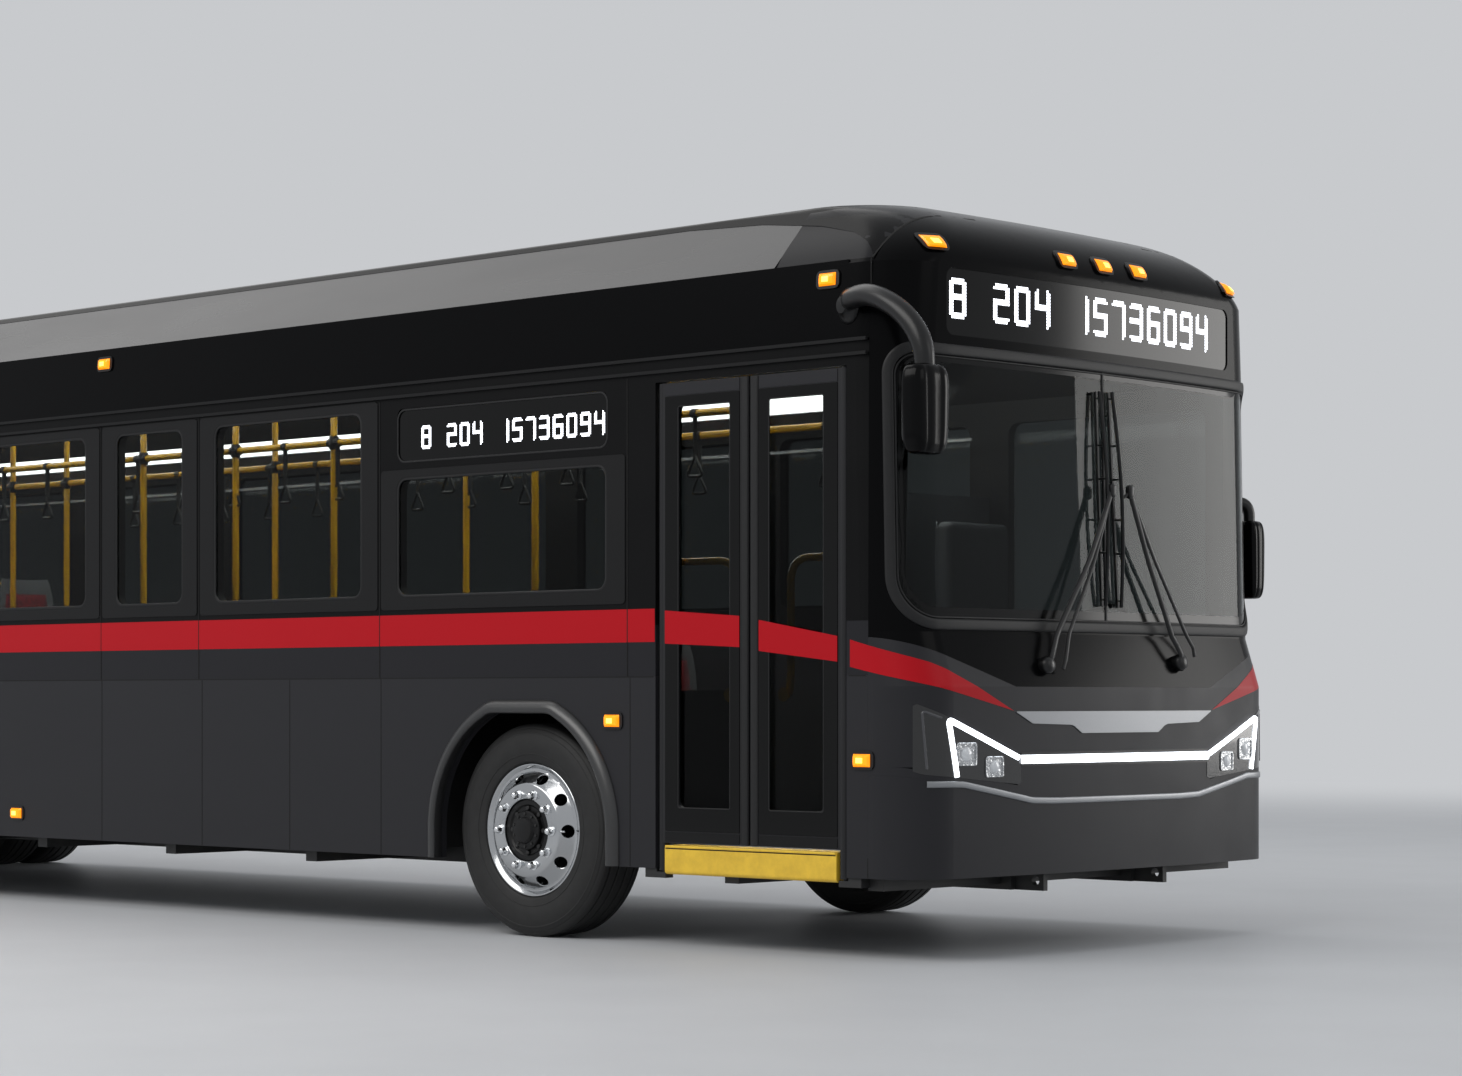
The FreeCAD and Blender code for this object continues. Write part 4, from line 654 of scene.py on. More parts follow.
def piece(name, parts, body, replaces=(), sharp=35.0):
    """Makes one object of (shape, finish name) pairs, smooth up to the sharp angle, riding on a body."""
    names, shapes, slots = [], [], []
    for part, look in parts:
        if look not in names:
            names.append(look)
        shapes.append(part)
        slots.append(np.full(len(part[1]), names.index(look)))
    vertices, faces = joined(*shapes)
    flat = faces[:, 2] == faces[:, 3]
    mesh = bpy.data.meshes.new(name)
    rows = [row[:3] if three else row for row, three in zip(faces.tolist(), flat)]
    mesh.from_pydata(vertices.tolist(), [], rows)
    for look in names:
        mesh.materials.append(finish(look))
    mesh.polygons.foreach_set("material_index", np.concatenate(slots).astype(np.int32))
    work = bmesh.new()
    work.from_mesh(mesh)
    bmesh.ops.remove_doubles(work, verts=work.verts, dist=0.00001)
    bmesh.ops.recalc_face_normals(work, faces=work.faces)
    work.to_mesh(mesh)
    work.free()
    mesh.polygons.foreach_set("use_smooth", np.ones(len(mesh.polygons), bool))
    mesh.set_sharp_from_angle(angle=math.radians(sharp))
    made = bpy.data.objects.new(name, mesh)
    bpy.context.scene.collection.objects.link(made)
    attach(made, body)
    if replaces:
        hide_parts(*replaces)
    return made


# Signs

SEGMENTS = {"0": "abcdef", "1": "bc", "2": "abged", "3": "abgcd", "4": "fgbc", "5": "afgcd", "6": "afgedc",
            "7": "abc", "8": "abcdefg", "9": "abcdfg", " ": ""}
SPANS = {"a": (slice(0, 8), slice(11, 13)), "b": (slice(6, 8), slice(6, 13)), "c": (slice(6, 8), slice(0, 7)),
         "d": (slice(0, 8), slice(0, 2)), "e": (slice(0, 2), slice(0, 7)), "f": (slice(0, 2), slice(6, 13)),
         "g": (slice(0, 8), slice(6, 8))}
DIGIT_STEP = 10.4


def dots(text):
    """Lit dots of a row of digits: (column, row) pairs, each digit seven bars of dots 8 wide and 13 high."""
    lit = []
    for number, sign in enumerate(text):
        cell = np.zeros((8, 13), bool)
        for key in SEGMENTS[sign]:
            cell[SPANS[key]] = True
        cell[[0, 0, 7, 7], [0, 12, 0, 12]] = False
        lit.append(np.argwhere(cell) + (number * DIGIT_STEP, 0))
    return np.vstack(lit)


def dot_field(skin, text, start, pitch, out=-SIGN_SUNK):
    """Each lit dot as a small raised square on a skin, side by side at the pitch."""
    centres = dots(text) * pitch + start
    square = np.array([(-1, -1), (1, -1), (1, 1), (-1, 1)]) * 0.42 * pitch
    u = centres[:, None, 0] + np.concatenate([square, square * 0.8])[None, :, 0]
    z = centres[:, None, 1] + np.concatenate([square, square * 0.8])[None, :, 1]
    level = np.concatenate([np.full(4, out - 0.0012), np.full(4, out)])
    points = skin(u, z, np.broadcast_to(level, u.shape))
    faces = np.array([(0, 1, 5, 4), (1, 2, 6, 5), (2, 3, 7, 6), (3, 0, 4, 7), (4, 5, 6, 7), (3, 2, 1, 0)])
    count = len(centres)
    return points.reshape(-1, 3), (faces[None] + 8 * np.arange(count)[:, None, None]).reshape(-1, 4)


class CITYBUS_OT_signs(bpy.types.Operator):
    """Lit dots on the black glass of the front and side destination signs, with plain digits only"""
    bl_idname = "citybus.signs"
    bl_label = "Destination signs"

    def execute(self, context):
        sizes = context.scene.city_bus_sizes
        paint = context.scene.city_bus_paint
        front = dot_field(front_skin, paint.front_text, FRONT_SIGN_START, sizes.front_pitch)
        side = dot_field(right_skin, paint.side_text, SIDE_SIGN_START, sizes.side_pitch)
        piece("sign_dots", [(joined(front, side), "sign_dots")], "chassis")
        rim = ring_plate(right_skin, loop(-0.834, 0.546, 2.160, 2.409, 0.050),
                         loop(-0.826, 0.538, 2.168, 2.401, 0.044), 0.0015, 0.006, 0.001)
        piece("side_sign_rim", [(rim, "epdm_rubber")], "chassis")
        return {"FINISHED"}


# Glazing

class CITYBUS_OT_windscreen(bpy.types.Operator):
    """Rubber gasket, black printed edge and centre joint of the windscreen"""
    bl_idname = "citybus.windscreen"
    bl_label = "Windscreen seal"

    def execute(self, context):
        width = context.scene.city_bus_sizes.gasket_width
        route = loop(-1.292, 1.292, 1.370, 2.490, (0.20, 0.11, 0.11, 0.20), 14, 23)
        gasket = laid(front_skin, route, bead(width, 0.011, 14, 0.6, 0.004), True)
        outer = loop(-1.275, 1.275, 1.388, 2.472, (0.185, 0.095, 0.095, 0.185), 14, 23)
        inner = loop(-1.235, 1.235, 1.440, 2.436, (0.150, 0.070, 0.070, 0.150), 14, 23)
        edge = ring_plate(front_skin, outer, inner, -0.0044, 0.0010, 0.0002)
        middle = np.stack([np.zeros(24), np.linspace(1.392, 2.468, 24)], 1)
        seam = laid(front_skin, middle, bead(0.014, 0.0045, 8, 0.7, 0.006) - (0, 0.004))
        lip = laid(front_skin, loop(-1.263, 1.263, 1.399, 2.461, (0.175, 0.088, 0.088, 0.175), 14, 23),
                   bead(0.008, 0.0035, 8) - (0, 0.002), True)
        piece("windscreen_gasket", [(joined(gasket, seam, lip), "epdm_rubber"), (edge, "ceramic_frit")],
              "chassis")
        return {"FINISHED"}


class CITYBUS_OT_side_glazing(bpy.types.Operator):
    """Window frames of both sides, one to a bay, standing a little proud of the wall"""
    bl_idname = "citybus.side_glazing"
    bl_label = "Side window frames"

    def execute(self, context):
        proud = context.scene.city_bus_sizes.frame_proud
        for name, skin, bays in (("right", right_skin, RIGHT_BAYS), ("left", left_skin, LEFT_BAYS)):
            shapes = []
            for low, high in bays:
                under_sign = (low, high) == RIGHT_BAYS[0]
                top = SIGN_BAY_WINDOW_HIGH if under_sign else WINDOW_HIGH
                frame_top = SIGN_BAY_FRAME_HIGH if under_sign else FRAME_HIGH
                outline = loop(low + FRAME_INSET, high - FRAME_INSET, FRAME_LOW, frame_top, 0.020, 7, 2)
                glass, line = (loop(low + WINDOW_MARGIN + lap, high - WINDOW_MARGIN - lap, WINDOW_LOW + lap,
                                    top - lap, WINDOW_ROUND - lap, 7, 2) for lap in (0.0, 0.004))
                shapes.append((ring_plate(skin, outline, glass, proud, 0.012, 0.002), "powder_coat"))
                shapes.append((laid(skin, line, bead(0.012, 0.003, 8, 0.8, 0.004), True), "epdm_rubber"))
            piece(name + "_window_frames", shapes, "chassis")
        return {"FINISHED"}


# Stripe

def along_side(x, z):
    """Arc length on the front skin of a place x on the straight side, which moves back as the front leans."""
    return SIDE_START + SIDE_X - leaned(z) - x


def eased(x, points):
    """Height at x of a line through points (x, z), each run eased by (1 - cos) / 2 of the way along it."""
    points = np.asarray(points, float)
    run = np.clip(np.searchsorted(points[:, 0], x, side="right") - 1, 0, len(points) - 2)
    a, b = points[run], points[run + 1]
    share = np.clip((x - a[:, 0]) / (b[:, 0] - a[:, 0]), 0, 1)
    return a[:, 1] + (b[:, 1] - a[:, 1]) * (1 - np.cos(math.pi * share)) / 2


class CITYBUS_OT_stripe(bpy.types.Operator):
    """Red film along the sides, over the doors and round to a point on the front"""
    bl_idname = "citybus.stripe"
    bl_label = "Red stripe"

    def execute(self, context):
        film = context.scene.city_bus_sizes.film
        shapes = []

        def lay(skin, u, z):
            shapes.append((plate(skin, u, z, film, 2 * film), "red_vinyl"))

        start = REAR_SEAM + STRIPE_GAP
        (rear_low, rear_high), (front_low, _) = DOORS["rear_door"], DOORS["front_door"]
        for ends in ((start, rear_low - STRIPE_GAP), (rear_high + STRIPE_GAP, front_low - STRIPE_GAP)):
            lay(right_skin, *between(np.linspace(*ends, 3), STRIPE_LOW, STRIPE_HIGH, 2))
        along = np.concatenate([[start], np.linspace(0.1, STRIPE_TURN, 48)])
        ends = (STRIPE_LOW, 1.130, NOSE_BOTTOM[-1][1]), (STRIPE_HIGH, 1.262, NOSE_TOP[-1][1])
        bottom, top = (eased(along, [(-10.0, level), (0.10, level), (0.80, dip), (1.60, dip),
                                     (STRIPE_TURN, nose)]) for level, dip, nose in ends)
        lay(left_skin, *between(along, bottom, top, 2))
        tip = np.linspace(STRIPE_TIP, SIDE_START, 72)
        low = np.interp(tip, *np.transpose(NOSE_BOTTOM))
        high = np.interp(tip, *np.transpose(NOSE_TOP))
        u, z = between(tip, low, high, 10)
        share = np.linspace(0, 1, 5)[1:, None]
        last_low = low[-1] + (NOSE_BOTTOM[-1][1] - low[-1]) * share
        last_high = high[-1] + (NOSE_TOP[-1][1] - high[-1]) * share
        side_z = last_low + (last_high - last_low) * np.linspace(0, 1, 10)[None, :]
        side_u = SIDE_START + (along_side(STRIPE_TURN, side_z) - SIDE_START) * share
        for sign in (-1, 1):
            lay(front_skin, sign * np.vstack([u, side_u]), np.vstack([z, side_z]))
        back = np.linspace(0.95, REAR_SIDE_START + REAR_SIDE_X + at(REAR_SEAM) - STRIPE_GAP, 40)
        for sign in (-1, 1):
            lay(rear_skin, *between(sign * back, STRIPE_LOW, STRIPE_HIGH, 2))
        piece("red_stripe", shapes, "chassis")
        return {"FINISHED"}


# Front

LAMP_START, LAMP_END, LAMP_RETURN = 0.672, 1.262, 2.080


class CITYBUS_OT_front(bpy.types.Operator):
    """Headlamps with their light lines, the bar between them, their side covers, chevron and strip"""
    bl_idname = "citybus.front"
    bl_label = "Front lamps and trims"

    def execute(self, context):
        sizes = context.scene.city_bus_sizes
        shapes = []
        for sign in (-1, 1):
            shapes += headlamp(sign, sizes.light_line)
        across = np.linspace(-LAMP_START, LAMP_START, 40)
        shapes.append((plate(front_skin, *between(across, 0.789, 0.847, 4), 0.003, 0.02), "black_abs"))
        shapes.append((laid(front_skin, np.stack([across, np.full(40, 0.818)], 1),
                            bead(sizes.bar_height, 0.012, 12, 0.6, 0.003)), "light_guide"))
        u, z = between(np.linspace(LAMP_END, SIDE_START + SIDE_X - LAMP_RETURN, 10), 0.792, 1.058, 6)
        shapes += [(plate(front_skin, sign * u, z, 0.0008, 0.004), "satin_polyurethane") for sign in (-1, 1)]
        piece("front_lamps", shapes, "chassis", ["headlamps"])

        wing = np.linspace(-0.700, 0.700, 57)
        low = np.interp(np.abs(wing), [0.277, 0.335, 0.60, 0.700], [0.924, 0.959, 0.966, 1.012])
        chevron = plate(front_skin, *between(wing, low, 1.016, 4), 0.004, 0.008)
        span = np.linspace(-1.205, 1.205, 97)
        middle = np.interp(np.abs(span), [0.45, 0.60, 1.02, 1.10], [0.6435, 0.6480, 0.7210, 0.7230])
        ribbon = laid(front_skin, np.stack([span, middle], 1), bead(0.027, 0.007, 10, 0.6, 0.003))
        piece("front_trims", [(joined(chevron, ribbon), "anodised_aluminium")], "chassis")
        return {"FINISHED"}


def headlamp(sign, line):
    """One headlamp: dark tray, two reflectors, bent light guide and inner edge, all on the front skin."""
    along = np.linspace(LAMP_START, LAMP_END, 36)
    high = np.interp(along, [LAMP_START, 0.681, 1.245, LAMP_END], [0.832, 0.838, 1.047, 1.040])
    low = np.interp(along, [LAMP_START, 0.687, 1.222, LAMP_END], [0.722, 0.716, 0.763, 0.775])
    shapes = [(plate(front_skin, *between(sign * along, low, high, 10), 0.0015, 0.03), "lamp_housing")]
    for u, z, reach in ((1.005, 0.843, 0.062), (0.838, 0.790, 0.056)):
        shapes += reflector(sign * u, z, reach)
    guide = bent([(0.690, 0.826), (1.108, 0.985), (1.060, 0.752)], 0.022, 5) * (sign, 1)
    fine = np.vstack([np.linspace(a, b, 4)[:-1] for a, b in zip(guide[:-1], guide[1:])] + [guide[-1:]])
    shapes.append((laid(front_skin, fine, bead(line, 0.011, 10, 0.7, 0.003)), "light_guide"))
    outer = bent([(1.140, 0.990), (1.225, 1.020), (1.205, 0.785)], 0.02, 5) * (sign, 1)
    shapes.append((laid(front_skin, outer, bead(0.012, 0.006, 8, 0.7, 0.003)), "smoked_lens"))
    return shapes


def reflector(u, z, reach):
    """A square reflector: a bright frame and floor, a round lens in the middle and two ribs across it."""
    side = reach * 0.98

    def window(wide, tall):
        return u - side * wide, u + side * wide, z - side * tall, z + side * tall

    frame_ring = ring_plate(front_skin, loop(*window(1.0, 0.78), 0.012, 5, 2),
                            loop(*window(0.84, 0.62), 0.008, 5, 2), 0.0075, 0.008, 0.002)
    base = plate(front_skin, *rounded(*window(0.86, 0.64), 0.008, (8, 6), 4), 0.0030, 0.004)
    middle, ahead = front_skin(u, z, [0.003, 0.103])
    lens = turned([(0.0, 0.0095), (reach * 0.30, 0.0085), (reach * 0.44, 0.004), (reach * 0.50, 0.0),
                   (reach * 0.36, -0.001), (0.0, -0.001)], middle, ahead - middle, 28)
    across = np.linspace(u - side * 0.8, u + side * 0.8, 6)
    ribs = [laid(front_skin, np.stack([across, np.full(6, z + rise * side)], 1),
                 bead(0.004, 0.007, 6, 0.8, 0.002)) for rise in (-0.34, 0.34)]
    return [(joined(frame_ring, base), "reflector"), (lens, "white_lens"), (joined(*ribs), "chrome")]


# Clearance lamps

def amber_lamp(skin, u, z, width, base):
    """A clearance lamp: black base with slanted ends, amber lens standing on it and a hot spot in the lens."""
    height = width * 0.62
    along = np.linspace(-1, 1, 15)
    half = height * 0.62 * (0.55 + 0.45 * np.sqrt(np.clip(1 - np.abs(along) ** 6, 0, 1)))
    foot = plate(skin, *between(u + along * width * 0.62, z - half, z + half, 4), base, base + 0.006)
    wide = np.linspace(-1, 1, 13)[:, None]
    tall = np.linspace(-1, 1, 9)[None, :]
    dome = np.sqrt(1 - np.abs(wide) ** 4) * np.sqrt(1 - np.abs(tall) ** 4)
    lens = plate(skin, u + wide * width * 0.44, z + tall * height * 0.42,
                 base + 0.002 + height * 0.26 * dome, 0.003)
    spot = plate(skin, u + wide * width * 0.17, z + tall * height * 0.17,
                 base + 0.003 + height * 0.26 + 0.002 * dome, 0.002)
    return [(foot, "black_abs"), (lens, "amber_lens"), (spot, "amber_core")]


class CITYBUS_OT_lamps(bpy.types.Operator):
    """Amber clearance lamps on roof, cove and skirts"""
    bl_idname = "citybus.lamps"
    bl_label = "Clearance lamps"

    def execute(self, context):
        width = context.scene.city_bus_sizes.lamp_width
        shapes = []
        for u in (-1.051, -0.232, 0.024, 0.281, 1.051):
            shapes += amber_lamp(front_skin, u, 2.930, width, 0.012)
        for u, z, base in ((0.576, 0.972, 0.006), (2.001, 0.818, 0.006), (-3.853, 0.464, 0.006),
                           (-3.103, 2.781, 0.008), (1.805, 2.784, 0.008)):
            for skin in (right_skin, left_skin):
                shapes += amber_lamp(skin, u, z, width, base)
        piece("clearance_lamps", shapes, "chassis", ["marker_lamps"])
        return {"FINISHED"}


# Wheels

def tyre_profile():
    """Tyre section of (radius, offset): crowned ribs, four grooves, round shoulders, walls, open inside."""
    groove, depth, edge = 0.0048, 0.0125, 0.0016
    shoulder = [(0.4655, 0.1160), (0.4725, 0.1110), (0.4765, 0.1040)]
    tread = [(r, -u) for r, u in shoulder]
    for middle in (-0.0760, -0.0270, 0.0270, 0.0760):
        top = TYRE_RADIUS - 0.0030 * (middle / 0.1) ** 2
        half = [(top, groove + edge), (top - 0.0015, groove), (top - depth, groove * 0.55)]
        tread += [(r, middle - u) for r, u in half] + [(r, middle + u) for r, u in reversed(half)]
    tread += reversed(shoulder)
    wall = [(0.4600, 0.1205), (0.4560, 0.1215), (0.4545, 0.1238), (0.4480, 0.1276), (0.4380, 0.1312),
            (0.4365, 0.1328), (0.4330, 0.1332), (0.4310, 0.1326), (0.4180, 0.1368), (0.3980, 0.1394),
            (0.3780, 0.1396), (0.3580, 0.1376), (0.3440, 0.1344), (0.3425, 0.1358), (0.3385, 0.1352),
            (0.3370, 0.1330), (0.3220, 0.1290), (0.3120, 0.1262), (0.3060, 0.1235), (0.3030, 0.1200),
            (0.2995, 0.1110), (0.2876, 0.1030), (0.2876, 0.0900)]
    inner = [(0.3034, 0.0880), (0.3850, 0.1240), (0.4575, 0.1010), (0.4600, 0.0500)]
    return ([(r, -u) for r, u in reversed(wall)] + tread + wall + inner
            + [(r, -u) for r, u in reversed(inner)])


def wheel_nuts(face):
    """Chrome nut covers in a ring on a disc: washer, six-sided body and domed top, all turned about Y."""
    washer = turned([(0.0, -0.001), (0.0215, -0.001), (0.0220, 0.003), (0.0195, 0.006), (0.0, 0.006)], steps=20)
    body = turned([(0.0, 0.005), (0.0178, 0.005), (0.0178, 0.022), (0.0160, 0.025), (0.0, 0.025)], steps=6)
    dome = turned([(0.0, 0.024), (0.0150, 0.024), (0.0146, 0.030), (0.0118, 0.0345), (0.0060, 0.0370),
                   (0.0, 0.0375)], steps=16)
    return copies(joined(washer, body, dome), around(NUTS, (0, face, 0), NUT_CIRCLE, math.pi / NUTS))


def front_wheel_trim():
    """Nuts, hub bolts, studs and valve of a front wheel, about its own centre, outwards along +Y."""
    bolt = turned([(0.0, 0.0), (0.0068, 0.0), (0.0068, 0.0055), (0.0056, 0.0066), (0.0, 0.0066)], steps=6)
    bolts = copies(bolt, around(10, (0, 0.1640, 0), 0.0730))
    stud = turned([(0.0, 0.0), (0.0105, 0.0), (0.0105, 0.008), (0.0085, 0.0105), (0.0, 0.011)], steps=14)
    studs = copies(stud, around(8, (0, 0.1425, 0), 0.0990))
    valve = tube(bent([(0.216, 0.150, 0.0), (0.226, 0.165, 0.0), (0.250, 0.160, 0.0)], 0.01, 4), 0.0042, 10)
    return [(joined(wheel_nuts(WHEEL_OFFSET), valve), "chrome"), (joined(bolts, studs), "chassis_paint")]


def fitted(part, place, side):
    """The part shifted to its place on the left side, or the mirror image of that on the right."""
    shifted = part[0] + np.asarray(place, float), part[1]
    return flipped(shifted) if side == "right" else shifted


class CITYBUS_OT_wheels(bpy.types.Operator):
    """Ribbed tyres in place of the plain ones, and the nuts, bolts and valves of the wheels"""
    bl_idname = "citybus.wheels"
    bl_label = "Wheels"

    def execute(self, context):
        tyre = turned(tyre_profile(), steps=192)
        twin = WHEEL_Y - 2 * WHEEL_OFFSET - 0.0003
        rear = [(at(REAR_AXLE), y, HUB_Z) for y in (WHEEL_Y, twin)]
        trim = front_wheel_trim()
        back_nuts = wheel_nuts(WHEEL_Y - WHEEL_OFFSET + DISC)
        for side in ("left", "right"):
            piece("ribbed_tyre_front_" + side, [(fitted(tyre, FRONT_WHEEL, side), "tyre_rubber")],
                  "wheel_front_" + side, ["tyre_front_" + side], 28)
            piece("ribbed_tyres_rear_" + side, [(fitted(tyre, spot, side), "tyre_rubber") for spot in rear],
                  "wheels_rear_" + side, ["tyres_rear_" + side], 28)
            piece("wheel_nuts_front_" + side, [(fitted(part, FRONT_WHEEL, side), look) for part, look in trim],
                  "wheel_front_" + side)
            piece("wheel_nuts_rear_" + side, [(fitted(back_nuts, (at(REAR_AXLE), 0, HUB_Z), side), "chrome")],
                  "wheels_rear_" + side)
        return {"FINISHED"}


# Mirrors

def mirror_head(place, half):
    """A mirror housing: a rounded box that narrows downwards, with two shallow vertical flutes on its front."""
    u = np.linspace(0, TAU, 72, endpoint=False)[:, None]
    v = np.linspace(-math.pi / 2, math.pi / 2, 40)[None, :]
    level = np.abs(np.cos(v)) ** 0.34
    x = level * signed_power(np.cos(u), 0.52)
    y = level * signed_power(np.sin(u), 0.52)
    z = signed_power(np.sin(v), 0.42) + 0 * u
    narrow = 1 - 0.14 * (1 - z) / 2 - 0.05 * np.clip(z, 0, 1) ** 3
    flute = 0.07 * np.exp(-((y - 0.30) / 0.13) ** 2) + 0.05 * np.exp(-((y + 0.42) / 0.10) ** 2)
    x = np.where(x > 0, x * (1 - flute), x * 0.62)
    points = np.stack([x * half[0], y * half[1] * narrow, z * half[2]], -1) + (at(place[0]), *place[1:])
    return grid(points, close_u=True)


def mirror_plane(place):
    """A skin for the mirror at that place: the upright plane at the back of its head, facing backwards."""
    x, y, z = place

    def skin(u, rise, out):
        return np.stack(spread(at(x) - 0.036 - out, y + u, z + rise), -1)

    return skin


class CITYBUS_OT_mirrors(bpy.types.Operator):
    """Curved arms and two-part heads of the outside mirrors"""
    bl_idname = "citybus.mirrors"
    bl_label = "Mirrors"

    def execute(self, context):
        thick = context.scene.city_bus_sizes.mirror_arm
        fine = resampled(bent([(at(x), y, z) for x, y, z in MIRROR_ARM], 0.16, 9), 48)
        scale = np.interp(np.linspace(0, 1, len(fine)), [0, 0.06, 0.07, 0.12, 0.8, 1.0],
                          [0.72, 0.72, 0.98, 1.0, 1.0, 0.86])
        arm = tube(fine, thick, 28, (0.0, 1.0, 0.0), scale=scale)
        foot = np.array([at(MIRROR_ARM[0][0]), -(HALF_WIDTH - 0.010), MIRROR_ARM[0][2]])
        boss = turned([(0.0, -0.004), (0.072, -0.004), (0.076, 0.002), (0.075, 0.008), (0.060, 0.018),
                       (0.042, 0.034), (0.034, 0.052), (0.0, 0.056)], foot, (0, -1, 0), 40)
        boss = ((boss[0] - foot) * (0.72, 1.0, 1.0) + foot, boss[1])
        collar = tube(fine[3:6], thick * 0.9, 28, (0.0, 1.0, 0.0))
        head = mirror_head(KERB_MIRROR, (0.065, 0.115, 0.178))
        bezel = ring_plate(mirror_plane(KERB_MIRROR), loop(-0.088, 0.088, -0.150, 0.150, 0.05),
                           loop(-0.080, 0.080, -0.142, 0.142, 0.042), 0.006, 0.02)
        glass = plate(mirror_plane(KERB_MIRROR), *rounded(-0.081, 0.081, -0.143, 0.143, 0.042, (10, 8), 6),
                      0.0035, 0.01)
        parts = [(arm, "black_abs"), (collar, "epdm_rubber"), (boss, "black_abs"), (head, "gloss_abs"),
                 (bezel, "black_abs"), (glass, "mirror_glass")]
        left_path = bent([(at(x), y, z) for x, y, z in STREET_ARM], 0.10, 7)
        arm_left = tube(resampled(left_path, 32), thick * 0.62, 24, (1.0, 0.0, 0.0))
        head_left = mirror_head(STREET_MIRROR, (0.065, 0.058, 0.182))
        glass_left = plate(mirror_plane(STREET_MIRROR),
                           *rounded(-0.040, 0.040, -0.145, 0.145, 0.028, (10, 8), 6), 0.0035, 0.01)
        parts += [(arm_left, "black_abs"), (head_left, "gloss_abs"), (glass_left, "mirror_glass")]
        piece("outside_mirrors", parts, "chassis", ["mirrors"], 50)
        return {"FINISHED"}


def resampled(path, count):
    """The same path with its points evenly spaced along it."""
    path = np.asarray(path, float)
    reach = np.concatenate([[0], np.cumsum(np.linalg.norm(np.diff(path, axis=0), axis=1))])
    keep = np.concatenate([[True], np.diff(reach) > 1e-9])
    spots = np.linspace(0, reach[-1], count)
    return np.stack([np.interp(spots, reach[keep], path[keep, k]) for k in range(path.shape[1])], 1)


# Wipers

def wiper(sign, base, second, knee, top, low):
    """One wiper: two arm rods to a knee, a long bowed blade and the rubber under it, on the front skin."""
    stand = 0.060
    foot = front_skin(sign * base[0], base[1], 0.012)
    shapes = [(turned([(0.0, -0.02), (0.034, -0.02), (0.038, 0.012), (0.030, 0.030), (0.014, 0.036),
                       (0.0, 0.037)], foot, (1, 0, 0.15), 28), "black_abs")]
    for (u, z), width in ((base, 0.0085), (second, 0.0060)):
        spots = np.array([(u, z, 0.030), (u * 0.97 + knee[0] * 0.03, z + (knee[1] - z) * 0.05, 0.050),
                          (u * 0.35 + knee[0] * 0.65, z + (knee[1] - z) * 0.6, stand), (*knee, stand)])
        fine = resampled(bent(spots, 0.05, 4), 20)
        path = front_skin(sign * fine[:, 0], fine[:, 1], fine[:, 2])
        shapes.append((swept(path, circle(width, 8) * (1.8, 1.0), (1.0, 0.0, 0.0)), "wiper_steel"))
    knuckle = front_skin(sign * knee[0], knee[1], stand)
    shapes.append((pillow(knuckle, (0.016, 0.018, 0.030), 0.6, (20, 12)), "black_abs"))
    last = 32
    t = np.linspace(0, 1, last + 1)
    u, z = (a + (b - a) * t for a, b in zip(top, low))
    blade = front_skin(sign * u, z, 0.024 + 0.028 * np.sin(math.pi * t))
    rubber = front_skin(sign * u, z, 0.006)
    shapes.append((swept(blade, circle(0.0070, 8) * (1.0, 1.3), (1.0, 0.0, 0.0)), "wiper_steel"))
    shapes.append((swept(rubber, [(-0.004, -0.010), (0.004, -0.010), (0.006, 0.004), (-0.006, 0.004)],
                         (1.0, 0.0, 0.0)), "epdm_rubber"))
    for share in (0.03, 0.24, 0.42, 0.58, 0.76, 0.97):
        k = round(share * last)
        shapes.append((rod(blade[k], rubber[k], 0.0045, 8), "wiper_steel"))
    shapes.append((rod(knuckle, blade[last // 2], 0.007, 10), "wiper_steel"))
    return shapes


class CITYBUS_OT_wipers(bpy.types.Operator):
    """Pantograph wipers parked upright on both sides of the centre joint"""
    bl_idname = "citybus.wipers"
    bl_label = "Wipers"

    def execute(self, context):
        shapes = wiper(-1, (0.492, 1.207), (0.405, 1.192), (0.030, 1.956), (0.060, 2.380), (0.040, 1.463))
        shapes += wiper(1, (0.472, 1.225), (0.590, 1.255), (0.100, 1.957), (0.030, 2.384), (0.075, 1.459))
        piece("pantograph_wipers", shapes, "chassis", ["wipers"], 50)
        return {"FINISHED"}


# Doors

